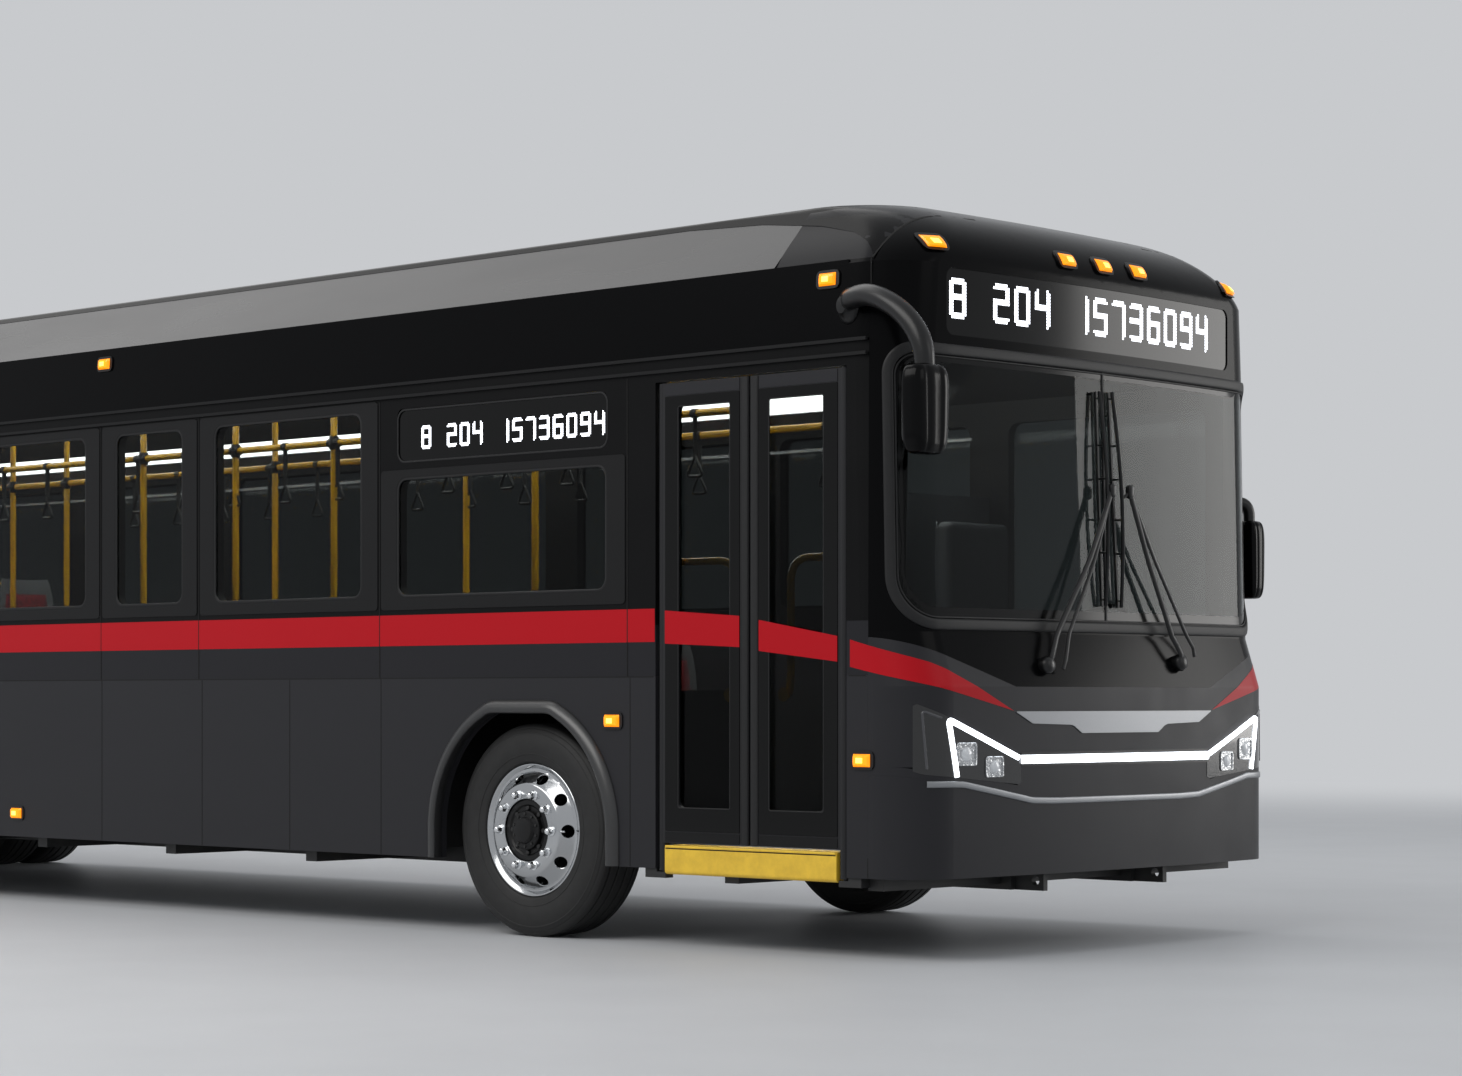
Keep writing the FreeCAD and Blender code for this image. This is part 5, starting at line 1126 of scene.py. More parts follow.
def leaf_shapes(hinge, free, front):
    """What is on one leaf: black glass edge, painted rails, rubber guard, hoop handrail and its stripe."""
    way = 1 if free > hinge else -1
    u0, u1 = sorted((hinge + way * 0.025, free - way * 0.050))
    clear = sorted((hinge + way * 0.099, free - way * 0.103))
    face = -LEAF_SUNK
    edge = ring_plate(right_skin, loop(u0, u1, 0.503, 2.360, 0.003, 4, 3),
                      loop(*clear, 0.600, 2.318, 0.010, 4, 3), face + 0.0030, 0.0032, 0.0006)
    lip = laid(right_skin, loop(clear[0] + 0.002, clear[1] - 0.002, 0.602, 2.316, 0.010, 4, 3),
               bead(0.007, 0.0044, 6) + (0, face - 0.001), True)

    def upright(inset, z0, z1, section):
        u = free - way * inset
        return laid(right_skin, [(u, z0), (u, 1.4), (u, z1)], section)

    guard = upright(0.0245, 0.456, 2.416, bead(0.044, 0.0065, 10, 0.7) + (0, face - 0.0005))
    crease = upright(0.040, 0.460, 2.412, bead(0.006, 0.0032, 6) + (0, face + 0.0035))
    inner = -(HALF_WIDTH - LEAF_SUNK - LEAF_THICK)
    y = inner + 0.050
    start, bar = hinge + way * 0.055, free - way * 0.148
    route = [(start, inner + 0.002, 1.655), (start, y, 1.655), (bar, y, 1.655), (bar, y, 1.085),
             (bar, inner + 0.002, 1.085)]
    hoop = tube(bent([(at(a), b, c) for a, b, c in route], 0.105, 9), 0.0165, 16, (0.0, 1.0, 0.31))
    feet = [turned([(0.0, 0.0), (0.030, 0.0), (0.030, 0.004), (0.024, 0.008), (0.0, 0.008)],
                   (at(a), inner, c), steps=20) for a, c in ((start, 1.655), (bar, 1.085))]
    if front:
        along = np.linspace(u0, u1, 12)
        low, high = (np.interp(along, *np.transpose(line)) for line in (DOOR_BOTTOM, DOOR_TOP))
    else:
        along, low, high = (u0, u1), STRIPE_LOW, STRIPE_HIGH
    stripe = plate(right_skin, *between(along, low, high, 2), face + 0.0042, 0.0016)
    return [(edge, "ceramic_frit"), (lip, "epdm_rubber"),
            (leaf_rail(u0, u1, 2.364, 2.416, face), "satin_polyurethane"),
            (leaf_rail(u0, u1, 0.456, 0.499, face), "powder_coat"), (joined(guard, crease), "epdm_rubber"),
            (joined(hoop, *feet), "yellow_powder"), (stripe, "red_vinyl")]


def leaf_rail(u0, u1, z0, z1, face):
    """A flat painted rail with round edges on a leaf."""
    return plate(right_skin, *rounded(u0, u1, z0, z1, 0.004, (3, 3), 4), face + 0.0025, 0.003)


class CITYBUS_OT_doors(bpy.types.Operator):
    """Glass edges, rails, rubber guards and handrails of the four door leaves, and the lips of the steps"""
    bl_idname = "citybus.doors"
    bl_label = "Doors"

    def execute(self, context):
        lips = []
        for name, (x0, x1) in DOORS.items():
            middle = (x0 + x1) / 2
            for end, hinge, free in (("back", x0 + 0.028, middle - 0.005),
                                     ("front", x1 - 0.028, middle + 0.005)):
                piece("%s_fittings_%s" % (name, end), leaf_shapes(hinge, free, name == "front_door"),
                      "%s_%s" % (name, end))
            step = np.array([(x0 + 0.056, STEP_EDGE), (middle, STEP_EDGE), (x1 - 0.062, STEP_EDGE)])
            lips.append((laid(right_skin, step, bead(0.0045, 0.0012, 6) - (0, 0.0042)), "joint_shadow"))
            lips.append((laid(right_skin, step + (0, 0.0085), bead(0.011, 0.0030, 8) - (0, 0.0040)),
                         "yellow_step"))
        piece("step_lips", lips, "chassis")
        return {"FINISHED"}


# Cabin

SEAT_LINE = [(0.214, -0.052), (0.216, -0.030), (0.200, -0.008), (0.150, -0.001), (0.040, -0.010),
             (-0.090, -0.022), (-0.165, -0.018), (-0.205, 0.010), (-0.226, 0.070), (-0.238, 0.180),
             (-0.247, 0.320), (-0.262, 0.460), (-0.276, 0.512)]


def seat_surface(share, across, lift):
    """Points of a seat shell: share runs along its side profile, across is -1 to 1, lift is along the normal,
    and the edges curl up by 0.02 * |across|^3."""
    line = resampled(smooth_line(SEAT_LINE), 90)
    step = np.gradient(line, axis=0)
    step /= np.linalg.norm(step, axis=1, keepdims=True)
    spots = np.linspace(0, 1, len(line))
    x, z, dx, dz = (np.interp(share, spots, column) for column in np.hstack([line, step]).T)
    rise = lift + 0.020 * np.abs(across) ** 3
    half = (0.206 - 0.030 * np.clip((share - 0.75) / 0.25, 0, 1) ** 2
            - 0.014 * np.clip((0.12 - share) / 0.12, 0, 1) ** 2)
    return np.stack(spread(x + dz * rise, across * half, z - dx * rise), -1)


def smooth_line(points, rounds=3):
    """The line with its corners cut three times, each time at a quarter and three quarters of every run."""
    line = np.asarray(points, float)
    for _ in range(rounds):
        a, b = line[:-1], line[1:]
        cuts = np.stack([a * 0.75 + b * 0.25, a * 0.25 + b * 0.75], 1).reshape(-1, 2)
        line = np.vstack([line[:1], cuts, line[-1:]])
    return line


def seat_parts():
    """Shell, two pads and grab handle of one seat with its pan's middle at the origin."""
    share = np.linspace(0, 1, 30)[:, None]
    across = np.linspace(-1, 1, 13)[None, :]
    shell_part = plate(seat_surface, share, across, 0.0, 0.011)

    def pad(start, end, wide, thick):
        s = np.linspace(-1, 1, 17)[:, None]
        crown = ((1 - np.abs(s) ** 5) * (1 - np.abs(across) ** 4)) ** 0.42
        crown = crown * (1 - 0.14 * np.exp(-((np.abs(s) - 0.42) / 0.06) ** 2))
        place = start + (end - start) * (s + 1) / 2
        side = across * wide * (1 - 0.03 * s ** 2)
        top = seat_surface(place, side, 0.002 + thick * crown)
        bottom = seat_surface(place, side, 0.0005)
        return shell(np.concatenate([top, bottom[:, ::-1]], 1))

    pads = joined(pad(0.10, 0.44, 0.84, 0.026), pad(0.54, 0.90, 0.80, 0.022))
    handle = tube(bent([(-0.262, -0.150, 0.440), (-0.318, -0.150, 0.500), (-0.318, 0.150, 0.500),
                        (-0.262, 0.150, 0.440)], 0.05, 6), 0.011, 12)
    return shell_part, pads, handle


def seat_spots():
    """Middle of each pair's seats: (x, y, height of the pan, height of what it stands on)."""
    side = HALF_WIDTH - WALL_THICK - SEAT_GAP - PAIR_HALF
    both, street = (-side, side), (side,)
    rows = [(x, both, FLOOR, SEAT_HEIGHT) for x in (-1.05, -1.85, -2.65, -3.45)]
    rows += [(x, street, FLOOR, SEAT_HEIGHT) for x in (-4.25, -5.05)]
    rows += [(x, both, HOUSING_TOP, HOUSING_SEAT_HEIGHT) for x in (-6.80, -7.45)]
    rows += [(x, both, DECK, SEAT_HEIGHT) for x in (-8.15, -8.85)]
    return [(x, y, base + height, base) for x, sides, base, height in rows for y in sides]


class CITYBUS_OT_seats(bpy.types.Operator):
    """Moulded shells with cloth pads in pairs, and the padded bench across the back"""
    bl_idname = "citybus.seats"
    bl_label = "Passenger seats"

    def execute(self, context):
        shell_part, pads, handle = seat_parts()
        seats, legs = [], []
        for x, y, height, base in seat_spots():
            seats += [(at(x), y - 0.218, height - 0.012), (at(x), y + 0.218, height - 0.012)]
            for back, ahead, half, low, high, edge in (
                    (-0.11, 0.11, 0.055, base + 0.001, height - 0.090, 0.012),
                    (-0.15, 0.15, 0.070, base + 0.0005, base + 0.014, 0.005),
                    (-0.17, 0.15, 0.400, height - 0.092, height - 0.052, 0.012)):
                legs.append(slab(at(x) + back, at(x) + ahead, y - half, y + half, low, high, edge))
        bench = [(at(-9.525), y, 1.395 + 0.090) for y in (-0.88, -0.44, 0.0, 0.44, 0.88)]
        moves = places(*seats, *bench)
        piece("seat_shells", [(copies(shell_part, moves), "seat_shell"),
                              (copies(handle, moves), "yellow_powder")],
              "chassis", ["passenger_seats"], 40)
        cushions = piece("seat_pads", [(copies(pads, moves), "red_moquette")], "chassis", (), 60)
        legs.append(slab(at(-9.80), at(-9.33), -1.15, 1.15, 1.396, 1.430, 0.006))
        piece("seat_legs", [(joined(*legs), "dull_aluminium")], "chassis")
        return {"FINISHED"}


class CITYBUS_OT_rails(bpy.types.Operator):
    """Clamps where the handrails cross, hanging straps and the feet of the poles"""
    bl_idname = "citybus.rails"
    bl_label = "Handrail fittings and straps"

    def execute(self, context):
        sleeve = [(0.0185, -0.034), (0.0240, -0.034), (0.0250, -0.028), (0.0250, 0.028), (0.0240, 0.034),
                  (0.0185, 0.034)]
        clamp = joined(*[turned(sleeve, axis=axis, steps=24) for axis in ((0, 0, 1), (1, 0, 0))])
        foot = turned([(POLE_RADIUS, 0.0), (0.0420, 0.0), (0.0420, 0.004), (0.0300, 0.010), (0.0220, 0.024),
                       (POLE_RADIUS, 0.024)], axis=(0, 0, 1), steps=28)
        clamps, feet, straps = [], [], []
        for y in (-RAIL_Y, RAIL_Y):
            for x, base in POLES:
                clamps.append((at(x), y, RAIL_HEIGHT))
                feet.append((at(x), y, base + 0.0004))
            straps += [(at(x), y, RAIL_HEIGHT) for x in np.arange(-5.6, 0.5, 0.42) if abs(x + 0.78) > 0.1]
        band = swept([(0, 0, 0.0205), (0, 0, -0.06), (0, 0, -0.13), (0, 0, -0.20)],
                     [(-0.014, -0.0016), (0.014, -0.0016), (0.014, 0.0016), (-0.014, 0.0016)], (1, 0, 0))
        collar = turned([(0.0178, -0.017), (0.0212, -0.017), (0.0212, 0.017), (0.0178, 0.017)],
                        axis=(1, 0, 0), steps=20)
        ring = bent([(0.0, 0.0, -0.195), (0.052, 0.0, -0.290), (-0.052, 0.0, -0.290), (0.0, 0.0, -0.195)],
                    0.028, 6)
        grip = tube(ring[:-1], 0.0075, 10, (0.0, 1.0, 0.0), closed=True)
        piece("rail_clamps", [(copies(clamp, places(*clamps)), "black_abs"),
                              (copies(foot, places(*feet)), "yellow_powder")], "chassis")
        piece("hanging_straps", [(copies(joined(band, collar), places(*straps)), "webbing"),
                                 (copies(grip, places(*straps)), "black_abs")], "chassis")
        return {"FINISHED"}


# Panel joints, arch lips and roof edges

SKIRT_SEAMS = (0.681, -0.949, -1.613, -2.289, -3.112, -4.475, -5.900, -8.500)
ARCH_RADIUS, ARCH_FLAT, ARCH_LAP, ARCH_WIDTH, ARCH_PROUD = 0.560, 1.008, 0.006, 0.055, 0.034
BAND_EDGE = [(-10.0, 3.108), (0.80, 3.106), (1.25, 3.086), (1.62, 3.040), (1.85, 2.985), (1.96, 2.930),
             (2.024, 2.868)]


def joint(skin, start, end, out=0.0007, width=0.0048):
    """The dark joint between two panels, level or upright, as a very thin plate just on the skin."""
    (u0, z0), (u1, z1) = start, end
    if u0 == u1:
        return plate(skin, *between([u0 - width / 2, u0 + width / 2], z0, z1, 2), out, 0.004)
    return plate(skin, *between([u0, u1], z0 - width / 2, z0 + width / 2, 2), out, 0.004)


def crown_reach(x, z):
    """Arc length on the front skin at the place x along the bus: looked up where the corner bends, and
    counted on from there along the straight side."""
    spots = np.linspace(0.6, 2.6, 2001)
    near = np.maximum(x, 1.4)
    found = front_skin(spots, z[..., None], 0.0)[..., 0]
    return spots[np.abs(found - at(near)[..., None]).argmin(-1)] + near - x


def arch_path(axle):
    """Middle line of an arch lip: an upright leg, a shoulder arc and a level top, then the same mirrored."""
    middle = (ARCH_WIDTH - ARCH_LAP) / 2
    radius, top = ARCH_RADIUS + middle, ARCH_FLAT + middle - HUB_Z
    end = math.asin(top / radius)
    turn = np.linspace(0, end * 0.90, 24)
    shoulder = np.stack([radius * np.cos(turn), HUB_Z + radius * np.sin(turn)], 1)
    level = [(radius * math.cos(end) * share, HUB_Z + top) for share in (1.06, 0.62)]
    half = np.vstack([[(radius, SKIRT + 0.001), (radius, HUB_Z - 0.05)], shoulder, level])
    line = smooth_line(np.vstack([half, half[::-1] * (-1, 1)]), 3)
    return line + (axle, 0)


class CITYBUS_OT_panels(bpy.types.Operator):
    """Joints between the panels, rounded rubber lips of the wheel arches and the dark edge of the roof"""
    bl_idname = "citybus.panels"
    bl_label = "Panel joints and edges"

    def execute(self, context):
        lines = []
        front, rear = DOORS["front_door"], DOORS["rear_door"]
        right_runs = [(REAR_SEAM, rear[0]), (rear[1], front[0]), (front[1], CAP_BACK)]
        left_runs = [(REAR_SEAM, CAP_BACK)]
        for skin, runs, bays in ((right_skin, right_runs, RIGHT_BAYS), (left_skin, left_runs, LEFT_BAYS)):
            lines += [joint(skin, (low + 0.012, BELT), (high - 0.012, BELT)) for low, high in runs]
            lines += [joint(skin, (u, SKIRT + 0.003), (u, BELT - 0.003)) for u in SKIRT_SEAMS]
            seams = sorted({edge for bay in bays for edge in bay})
            lines += [joint(skin, (u, BELT + 0.003), (u, RAIL - 0.062), 0.0018) for u in seams]
            lines.append(joint(skin, (CAP_BACK, SKIRT + 0.003), (CAP_BACK, COVE)))
        z = np.linspace(COVE, 3.080, 24)
        for sign in (-1, 1):
            path = np.stack([sign * crown_reach(np.full(24, CAP_BACK), z), z], 1)
            lines.append(laid(front_skin, path, bead(0.006, 0.0014, 6)))
        piece("panel_joints", [(joined(*lines), "joint_shadow")], "chassis")

        wide, out = (ARCH_WIDTH + ARCH_LAP) / 2, ARCH_PROUD
        lip = [(-wide, -0.020), (-wide, out * 0.62), (-wide * 0.90, out * 0.85),
               (-wide * 0.66, out * 0.985), (-wide * 0.30, out * 0.985), (wide * 0.06, out * 0.90),
               (wide * 0.42, out * 0.72), (wide * 0.72, out * 0.45), (wide * 0.90, out * 0.22), (wide, 0.0),
               (wide, -0.002)]
        lips = [laid(skin, arch_path(axle), lip)
                for skin in (right_skin, left_skin) for axle in (0.0, REAR_AXLE)]
        piece("arch_lips", [(joined(*lips), "lip_rubber")], "chassis", ["wheel_arch_trims"], 50)

        along = np.concatenate([[REAR_SEAM + 0.006, -6.0, -2.0, 0.4], np.linspace(0.8, CAP_BACK - 0.004, 34)])
        low = np.interp(along, *np.transpose(BAND_EDGE))
        x, z = between(along, low, SHOULDER + 0.012, 9)
        reach = crown_reach(x, z)
        bands = [plate(front_skin, sign * reach, z, 0.0016, 0.004) for sign in (-1, 1)]
        piece("roof_edges", [(joined(*bands), "black_gelcoat")], "chassis")
        return {"FINISHED"}


# Front wheels: rims with round hand holes, and the sunk hubs

WALL, HOLE_CIRCLE = ((0.214, 0.152), (0.262, 0.109)), 0.240


def wall_skin(u, s, out):
    """The slanted wall of a rim: u is the arc at the hand holes' circle, s runs down the slope and out is
    square to it."""
    (r0, y0), (r1, y1) = WALL
    length = math.hypot(r1 - r0, y1 - y0)
    dr, dy = (r1 - r0) / length, (y1 - y0) / length
    radius = r0 + dr * s - dy * out
    angle = u / HOLE_CIRCLE
    return np.stack([radius * np.sin(angle), y0 + dy * s + dr * out + 0 * angle, radius * np.cos(angle)], -1)


def holed_wall(count=10, hole=0.0285, thick=0.021):
    """The slanted wall, in equal shares: each has a round hole with its bore and the wall's edge round it."""
    length = math.hypot(WALL[1][0] - WALL[0][0], WALL[1][1] - WALL[0][1])
    half_u, half_s = math.pi / count * HOLE_CIRCLE, length / 2
    corner = math.atan2(half_s, half_u)
    quarter = np.concatenate([np.linspace(0, corner, 7)[:-1], np.linspace(corner, math.pi / 2, 7)[:-1]])
    turn = np.concatenate([quarter, [math.pi / 2], math.pi - quarter[:0:-1], [math.pi],
                           math.pi + quarter[1:], [1.5 * math.pi], TAU - quarter[:0:-1]])
    c, s = np.cos(turn), np.sin(turn)
    reach = np.minimum(half_u / np.maximum(np.abs(c), 1e-9), half_s / np.maximum(np.abs(s), 1e-9))
    rows = [(reach, 0.0), (np.full_like(reach, hole + 0.0020), 0.0), (np.full_like(reach, hole), -0.0025),
            (np.full_like(reach, hole), 0.002 - thick), (reach, -thick)]
    points = np.stack([wall_skin(r * c, half_s + r * s, np.full_like(r, out)) for r, out in rows], 1)
    return copies(grid(points, close_u=True), around(count, (0, 0, 0), 0.0, math.pi / count))


def front_rim():
    """A front rim about its own centre: lips, bead seats and well, the flat wheel face and the holed wall."""
    back = [(0.2473, 0.0926), (0.250, 0.084), (0.250, -0.048), (0.272, -0.070), (0.274, -0.104),
            (0.2895, -0.118), (0.2985, -0.118), (0.2985, -0.111), (0.287, -0.104), (0.284, -0.062),
            (0.262, -0.042), (0.262, 0.042), (0.284, 0.062), (0.287, 0.104), (0.2985, 0.111),
            (0.2985, 0.1165), (0.2965, 0.118), (0.2915, 0.118), (0.2885, 0.1160), (0.2760, 0.1060),
            (0.2720, 0.1055), WALL[1]]
    face = [WALL[0], (0.209, 0.1575), (0.205, 0.159), (0.1425, 0.159), (0.1405, 0.157), (0.1405, 0.137),
            (0.190, 0.137), (0.1993, 0.1356)]
    return joined(*[turned(line, steps=180, closed=False) for line in (back, face)], holed_wall())


def front_hub():
    """A front hub about its own centre: brake rotor, barrel, flange, pilot, sunk face and round cap."""
    return turned([(0.0, 0.183), (0.046, 0.183), (0.052, 0.1815), (0.056, 0.176), (0.061, 0.167),
                   (0.083, 0.1645), (0.087, 0.160), (0.090, 0.143), (0.108, 0.143), (0.116, 0.150),
                   (0.1345, 0.150), (0.1398, 0.146), (0.1398, 0.1367), (0.205, 0.1367), (0.205, 0.113),
                   (0.092, 0.113), (0.092, -0.006), (0.205, -0.006), (0.205, -0.051), (0.0402, -0.051),
                   (0.0402, 0.177), (0.0, 0.177)])


class CITYBUS_OT_rims(bpy.types.Operator):
    """Front rims with ten round hand holes and hubs with a sunk face, in place of the plain ones"""
    bl_idname = "citybus.rims"
    bl_label = "Front rims and hubs"

    def execute(self, context):
        rim, hub = front_rim(), front_hub()
        for side in ("left", "right"):
            piece("holed_rim_front_" + side, [(fitted(rim, FRONT_WHEEL, side), "polished_aluminium")],
                  "wheel_front_" + side, ["rim_front_" + side], 30)
            piece("sunk_hub_front_" + side, [(fitted(hub, FRONT_WHEEL, side), "hub_paint")],
                  "wheel_front_" + side, ["hub_front_" + side], 30)
        return {"FINISHED"}


# Cabin lining and handrails

def strip(x0, x1, start, end, thick):
    """A long flat panel between two places (y, z) of the cross-section, thick upwards, and its mirror."""
    (y0, z0), (y1, z1) = start, end
    length = math.hypot(y1 - y0, z1 - z0)
    normal = np.array([0.0, (z0 - z1) / length, (y1 - y0) / length])
    if normal[2] < 0:
        normal = -normal

    def skin(u, s, out):
        flat = np.stack([at(u), y0 + (y1 - y0) * s, z0 + (z1 - z0) * s], -1)
        return flat - np.asarray(out)[..., None] * normal

    part = plate(skin, *between([x0, (x0 + x1) / 2, x1], 0.0, 1.0, 4), 0.0, thick)
    return joined(part, flipped(part))


class CITYBUS_OT_lining(bpy.types.Operator):
    """Sloping cove panels, light strips and dark ceiling lining, and the yellow poles with their level rails"""
    bl_idname = "citybus.lining"
    bl_label = "Cabin lining and handrails"

    def execute(self, context):
        back, front = -9.55, 0.30
        coves = strip(back, front, (1.231, 2.462), (1.090, 2.524), 0.008)
        lights = strip(back + 0.02, front - 0.02, (1.085, 2.527), (0.985, 2.592), 0.010)
        lining = strip(back, front, (0.980, 2.597), (0.800, 2.770), 0.006)
        vents = plate(left_skin, *between([-8.2, -4.0, 0.55], 2.338, 2.352, 2), -0.052, 0.010)
        piece("cabin_coves", [(coves, "cove_laminate"), (lights, "light_strip"), (lining, "dark_lining"),
                              (vents, "anodised_aluminium")], "chassis", (), 30)
        shapes = []
        for y in (-RAIL_Y, RAIL_Y):
            shapes.append(rod((at(-9.30), y, RAIL_HEIGHT), (at(0.60), y, RAIL_HEIGHT), POLE_RADIUS, 16))
            for x, base in POLES:
                shapes.append(rod((at(x), y, base + 0.001), (at(x), y, POLE_TOP), POLE_RADIUS, 16))
        piece("handrails", [(joined(*shapes), "yellow_powder")], "chassis", ["grab_rails"], 50)
        return {"FINISHED"}


# Grilles and roof fans

class CITYBUS_OT_grilles(bpy.types.Operator):
    """Slatted air intake of the engine bay on the driver's side, and the fans on the roof units"""
    bl_idname = "citybus.grilles"
    bl_label = "Grilles and fans"

    def execute(self, context):
        x0, x1, z0, z1 = -9.60, -8.56, 0.52, 1.08
        surround = ring_plate(left_skin, loop(x0, x1, z0, z1, 0.03, 6, 3),
                              loop(x0 + 0.03, x1 - 0.03, z0 + 0.03, z1 - 0.03, 0.015, 6, 3), 0.008, 0.012)
        # Painted shade: the near-black plate behind the slats stands for the shade inside the intake
        dark = plate(left_skin, *rounded(x0 + 0.02, x1 - 0.02, z0 + 0.02, z1 - 0.02, 0.02, (6, 4), 4),
                     0.0012, 0.004)
        blade = [(-0.016, 0.001), (-0.014, 0.009), (0.010, 0.003), (0.012, 0.001)]
        slats = [laid(left_skin, [(x0 + 0.028, z), (x1 - 0.028, z)], blade)
                 for z in np.linspace(z0 + 0.06, z1 - 0.06, 11)]
        piece("engine_grille", [(joined(surround, *slats), "powder_coat"), (dark, "joint_shadow")], "chassis")
        fan_parts = [turned([(0.215, 0.0), (0.222, 0.006), (0.215, 0.014), (0.198, 0.016), (0.190, 0.004),
                             (0.190, 0.0)], axis=(0, 0, 1), steps=48)]
        fan_parts += [turned([(r, 0.007), (r + 0.004, 0.009), (r, 0.011), (r - 0.004, 0.009)],
                             axis=(0, 0, 1), steps=40) for r in (0.06, 0.10, 0.14, 0.17)]
        # Painted shade: the near-black disc under each fan's guard stands for the shade down in its well
        well = turned([(0.0, 0.003), (0.191, 0.003), (0.191, 0.0), (0.0, 0.0)], axis=(0, 0, 1), steps=40)
        moves = places(*[(at(x), y, top)
                         for low, high, top in ((-8.90, -6.40, 3.130), (-5.90, -3.50, 3.105),
                                                (-3.10, -0.70, 3.105))
                         for x in np.linspace(low + 0.35, high - 0.35, 4) for y in (-0.33, 0.33)])
        piece("roof_fans", [(copies(joined(*fan_parts), moves), "black_abs"),
                            (copies(well, moves), "joint_shadow")], "chassis")
        return {"FINISHED"}


# Finishes of the solids and the stage

NODE_FINISHES = {
    "air_springs": "bellows_rubber", "ceiling_lights": "ceiling_diffuser", "destination_signs": "ceramic_frit",
    "door_steps": "yellow_step", "drip_rails": "powder_coat", "driver_station": "cabin_laminate",
    "engine_block": "chassis_paint", "engine_door": "two_tone_polyurethane", "floor": "fleck_flooring",
    "front_axle": "chassis_paint", "front_bumper": "satin_polyurethane", "front_mask": "satin_polyurethane",
    "front_surround": "painted_gelcoat", "grab_rails": "yellow_powder", "headlamps": "black_abs",
    "knuckle_left": "chassis_paint", "knuckle_right": "chassis_paint", "left_skirts": "satin_polyurethane",
    "left_wall": "two_tone_polyurethane", "marker_lamps": "amber_lens", "mirrors": "black_abs",
    "passenger_seats": "seat_shell", "rear_axle": "chassis_paint", "rear_bumper": "black_abs",
    "rear_cap": "two_tone_polyurethane", "right_skirts": "satin_polyurethane",
    "right_wall": "two_tone_polyurethane", "roof_fairings": "fairing_paint",
    "roof_shell": "black_gelcoat", "roof_units": "dull_aluminium",
    "side_windows": "toughened_glass", "steering_wheel": "soft_polyurethane", "tail_lamps": "prism_lens",
    "underframe": "coated_steel", "wheel_arch_trims": "epdm_rubber", "wheel_housings": "housing_liner",
    "windscreen": "laminated_glass", "wipers": "wiper_steel",
}
GROUP_FINISHES = (("hub_", "hub_paint"), ("rim", "polished_aluminium"), ("tyre", "tyre_rubber"),
                  ("_leaf_", "door_paint"), ("_pane_", "toughened_glass"))


class CITYBUS_OT_finishes(bpy.types.Operator):
    """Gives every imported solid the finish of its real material"""
    bl_idname = "citybus.finishes"
    bl_label = "Finishes of the solids"

    def execute(self, context):
        for name, node in NODES.items():
            look = NODE_FINISHES.get(name)
            look = look or next((value for key, value in GROUP_FINISHES if key in name), None)
            if look is None:
                raise RuntimeError("no finish for the solid " + name)
            node.data.materials.clear()
            node.data.materials.append(finish(look))
        return {"FINISHED"}


BACKDROP = "#C8CACD"


def seen_by_eye(tree):
    """1 for camera, glossy and transmission rays, which see the pale backdrop, and 0 for the others."""
    path = add(tree, "ShaderNodeLightPath")
    first = add(tree, "ShaderNodeMath",
                {0: path.outputs["Is Camera Ray"], 1: path.outputs["Is Transmission Ray"]}, operation="MAXIMUM")
    return add(tree, "ShaderNodeMath", {0: first.outputs[0], 1: path.outputs["Is Glossy Ray"]},
               operation="MAXIMUM").outputs[0]


def studio_sweep():
    """Pale studio floor: matt and mottled near the bus, running out into the colour of the backdrop."""
    made = blank("studio_sweep")
    tree = made.node_tree
    place = add(tree, "ShaderNodeTexCoord").outputs["Object"]
    grain = add(tree, "ShaderNodeTexNoise", {"Vector": place, "Scale": 1.6, "Detail": 5.0})
    base = add(tree, "ShaderNodeMix", {0: grain.outputs["Fac"], 6: srgb("#CFD1D4"), 7: srgb("#C6C8CB")},
               data_type="RGBA")
    raised = add(tree, "ShaderNodeBump",
                 {"Height": grain.outputs["Fac"], "Strength": 0.4, "Distance": 0.0006})
    near = add(tree, "ShaderNodeBsdfPrincipled",
               {"Base Color": base.outputs[2], "Roughness": 0.5, "Normal": raised.outputs["Normal"]})
    far = add(tree, "ShaderNodeEmission", {"Color": srgb(BACKDROP), "Strength": 1.0})
    reach = add(tree, "ShaderNodeVectorMath", {0: place}, operation="LENGTH")
    share = add(tree, "ShaderNodeMapRange",
                {"Value": reach.outputs["Value"], "From Min": 8.0, "From Max": 26.0},
                interpolation_type="SMOOTHERSTEP")
    mask = add(tree, "ShaderNodeMath", {0: share.outputs["Result"], 1: seen_by_eye(tree)},
               operation="MULTIPLY")
    mixed = add(tree, "ShaderNodeMixShader", {0: mask.outputs[0], 1: near.outputs[0], 2: far.outputs[0]})
    add(tree, "ShaderNodeOutputMaterial", {"Surface": mixed.outputs[0]})
    return made


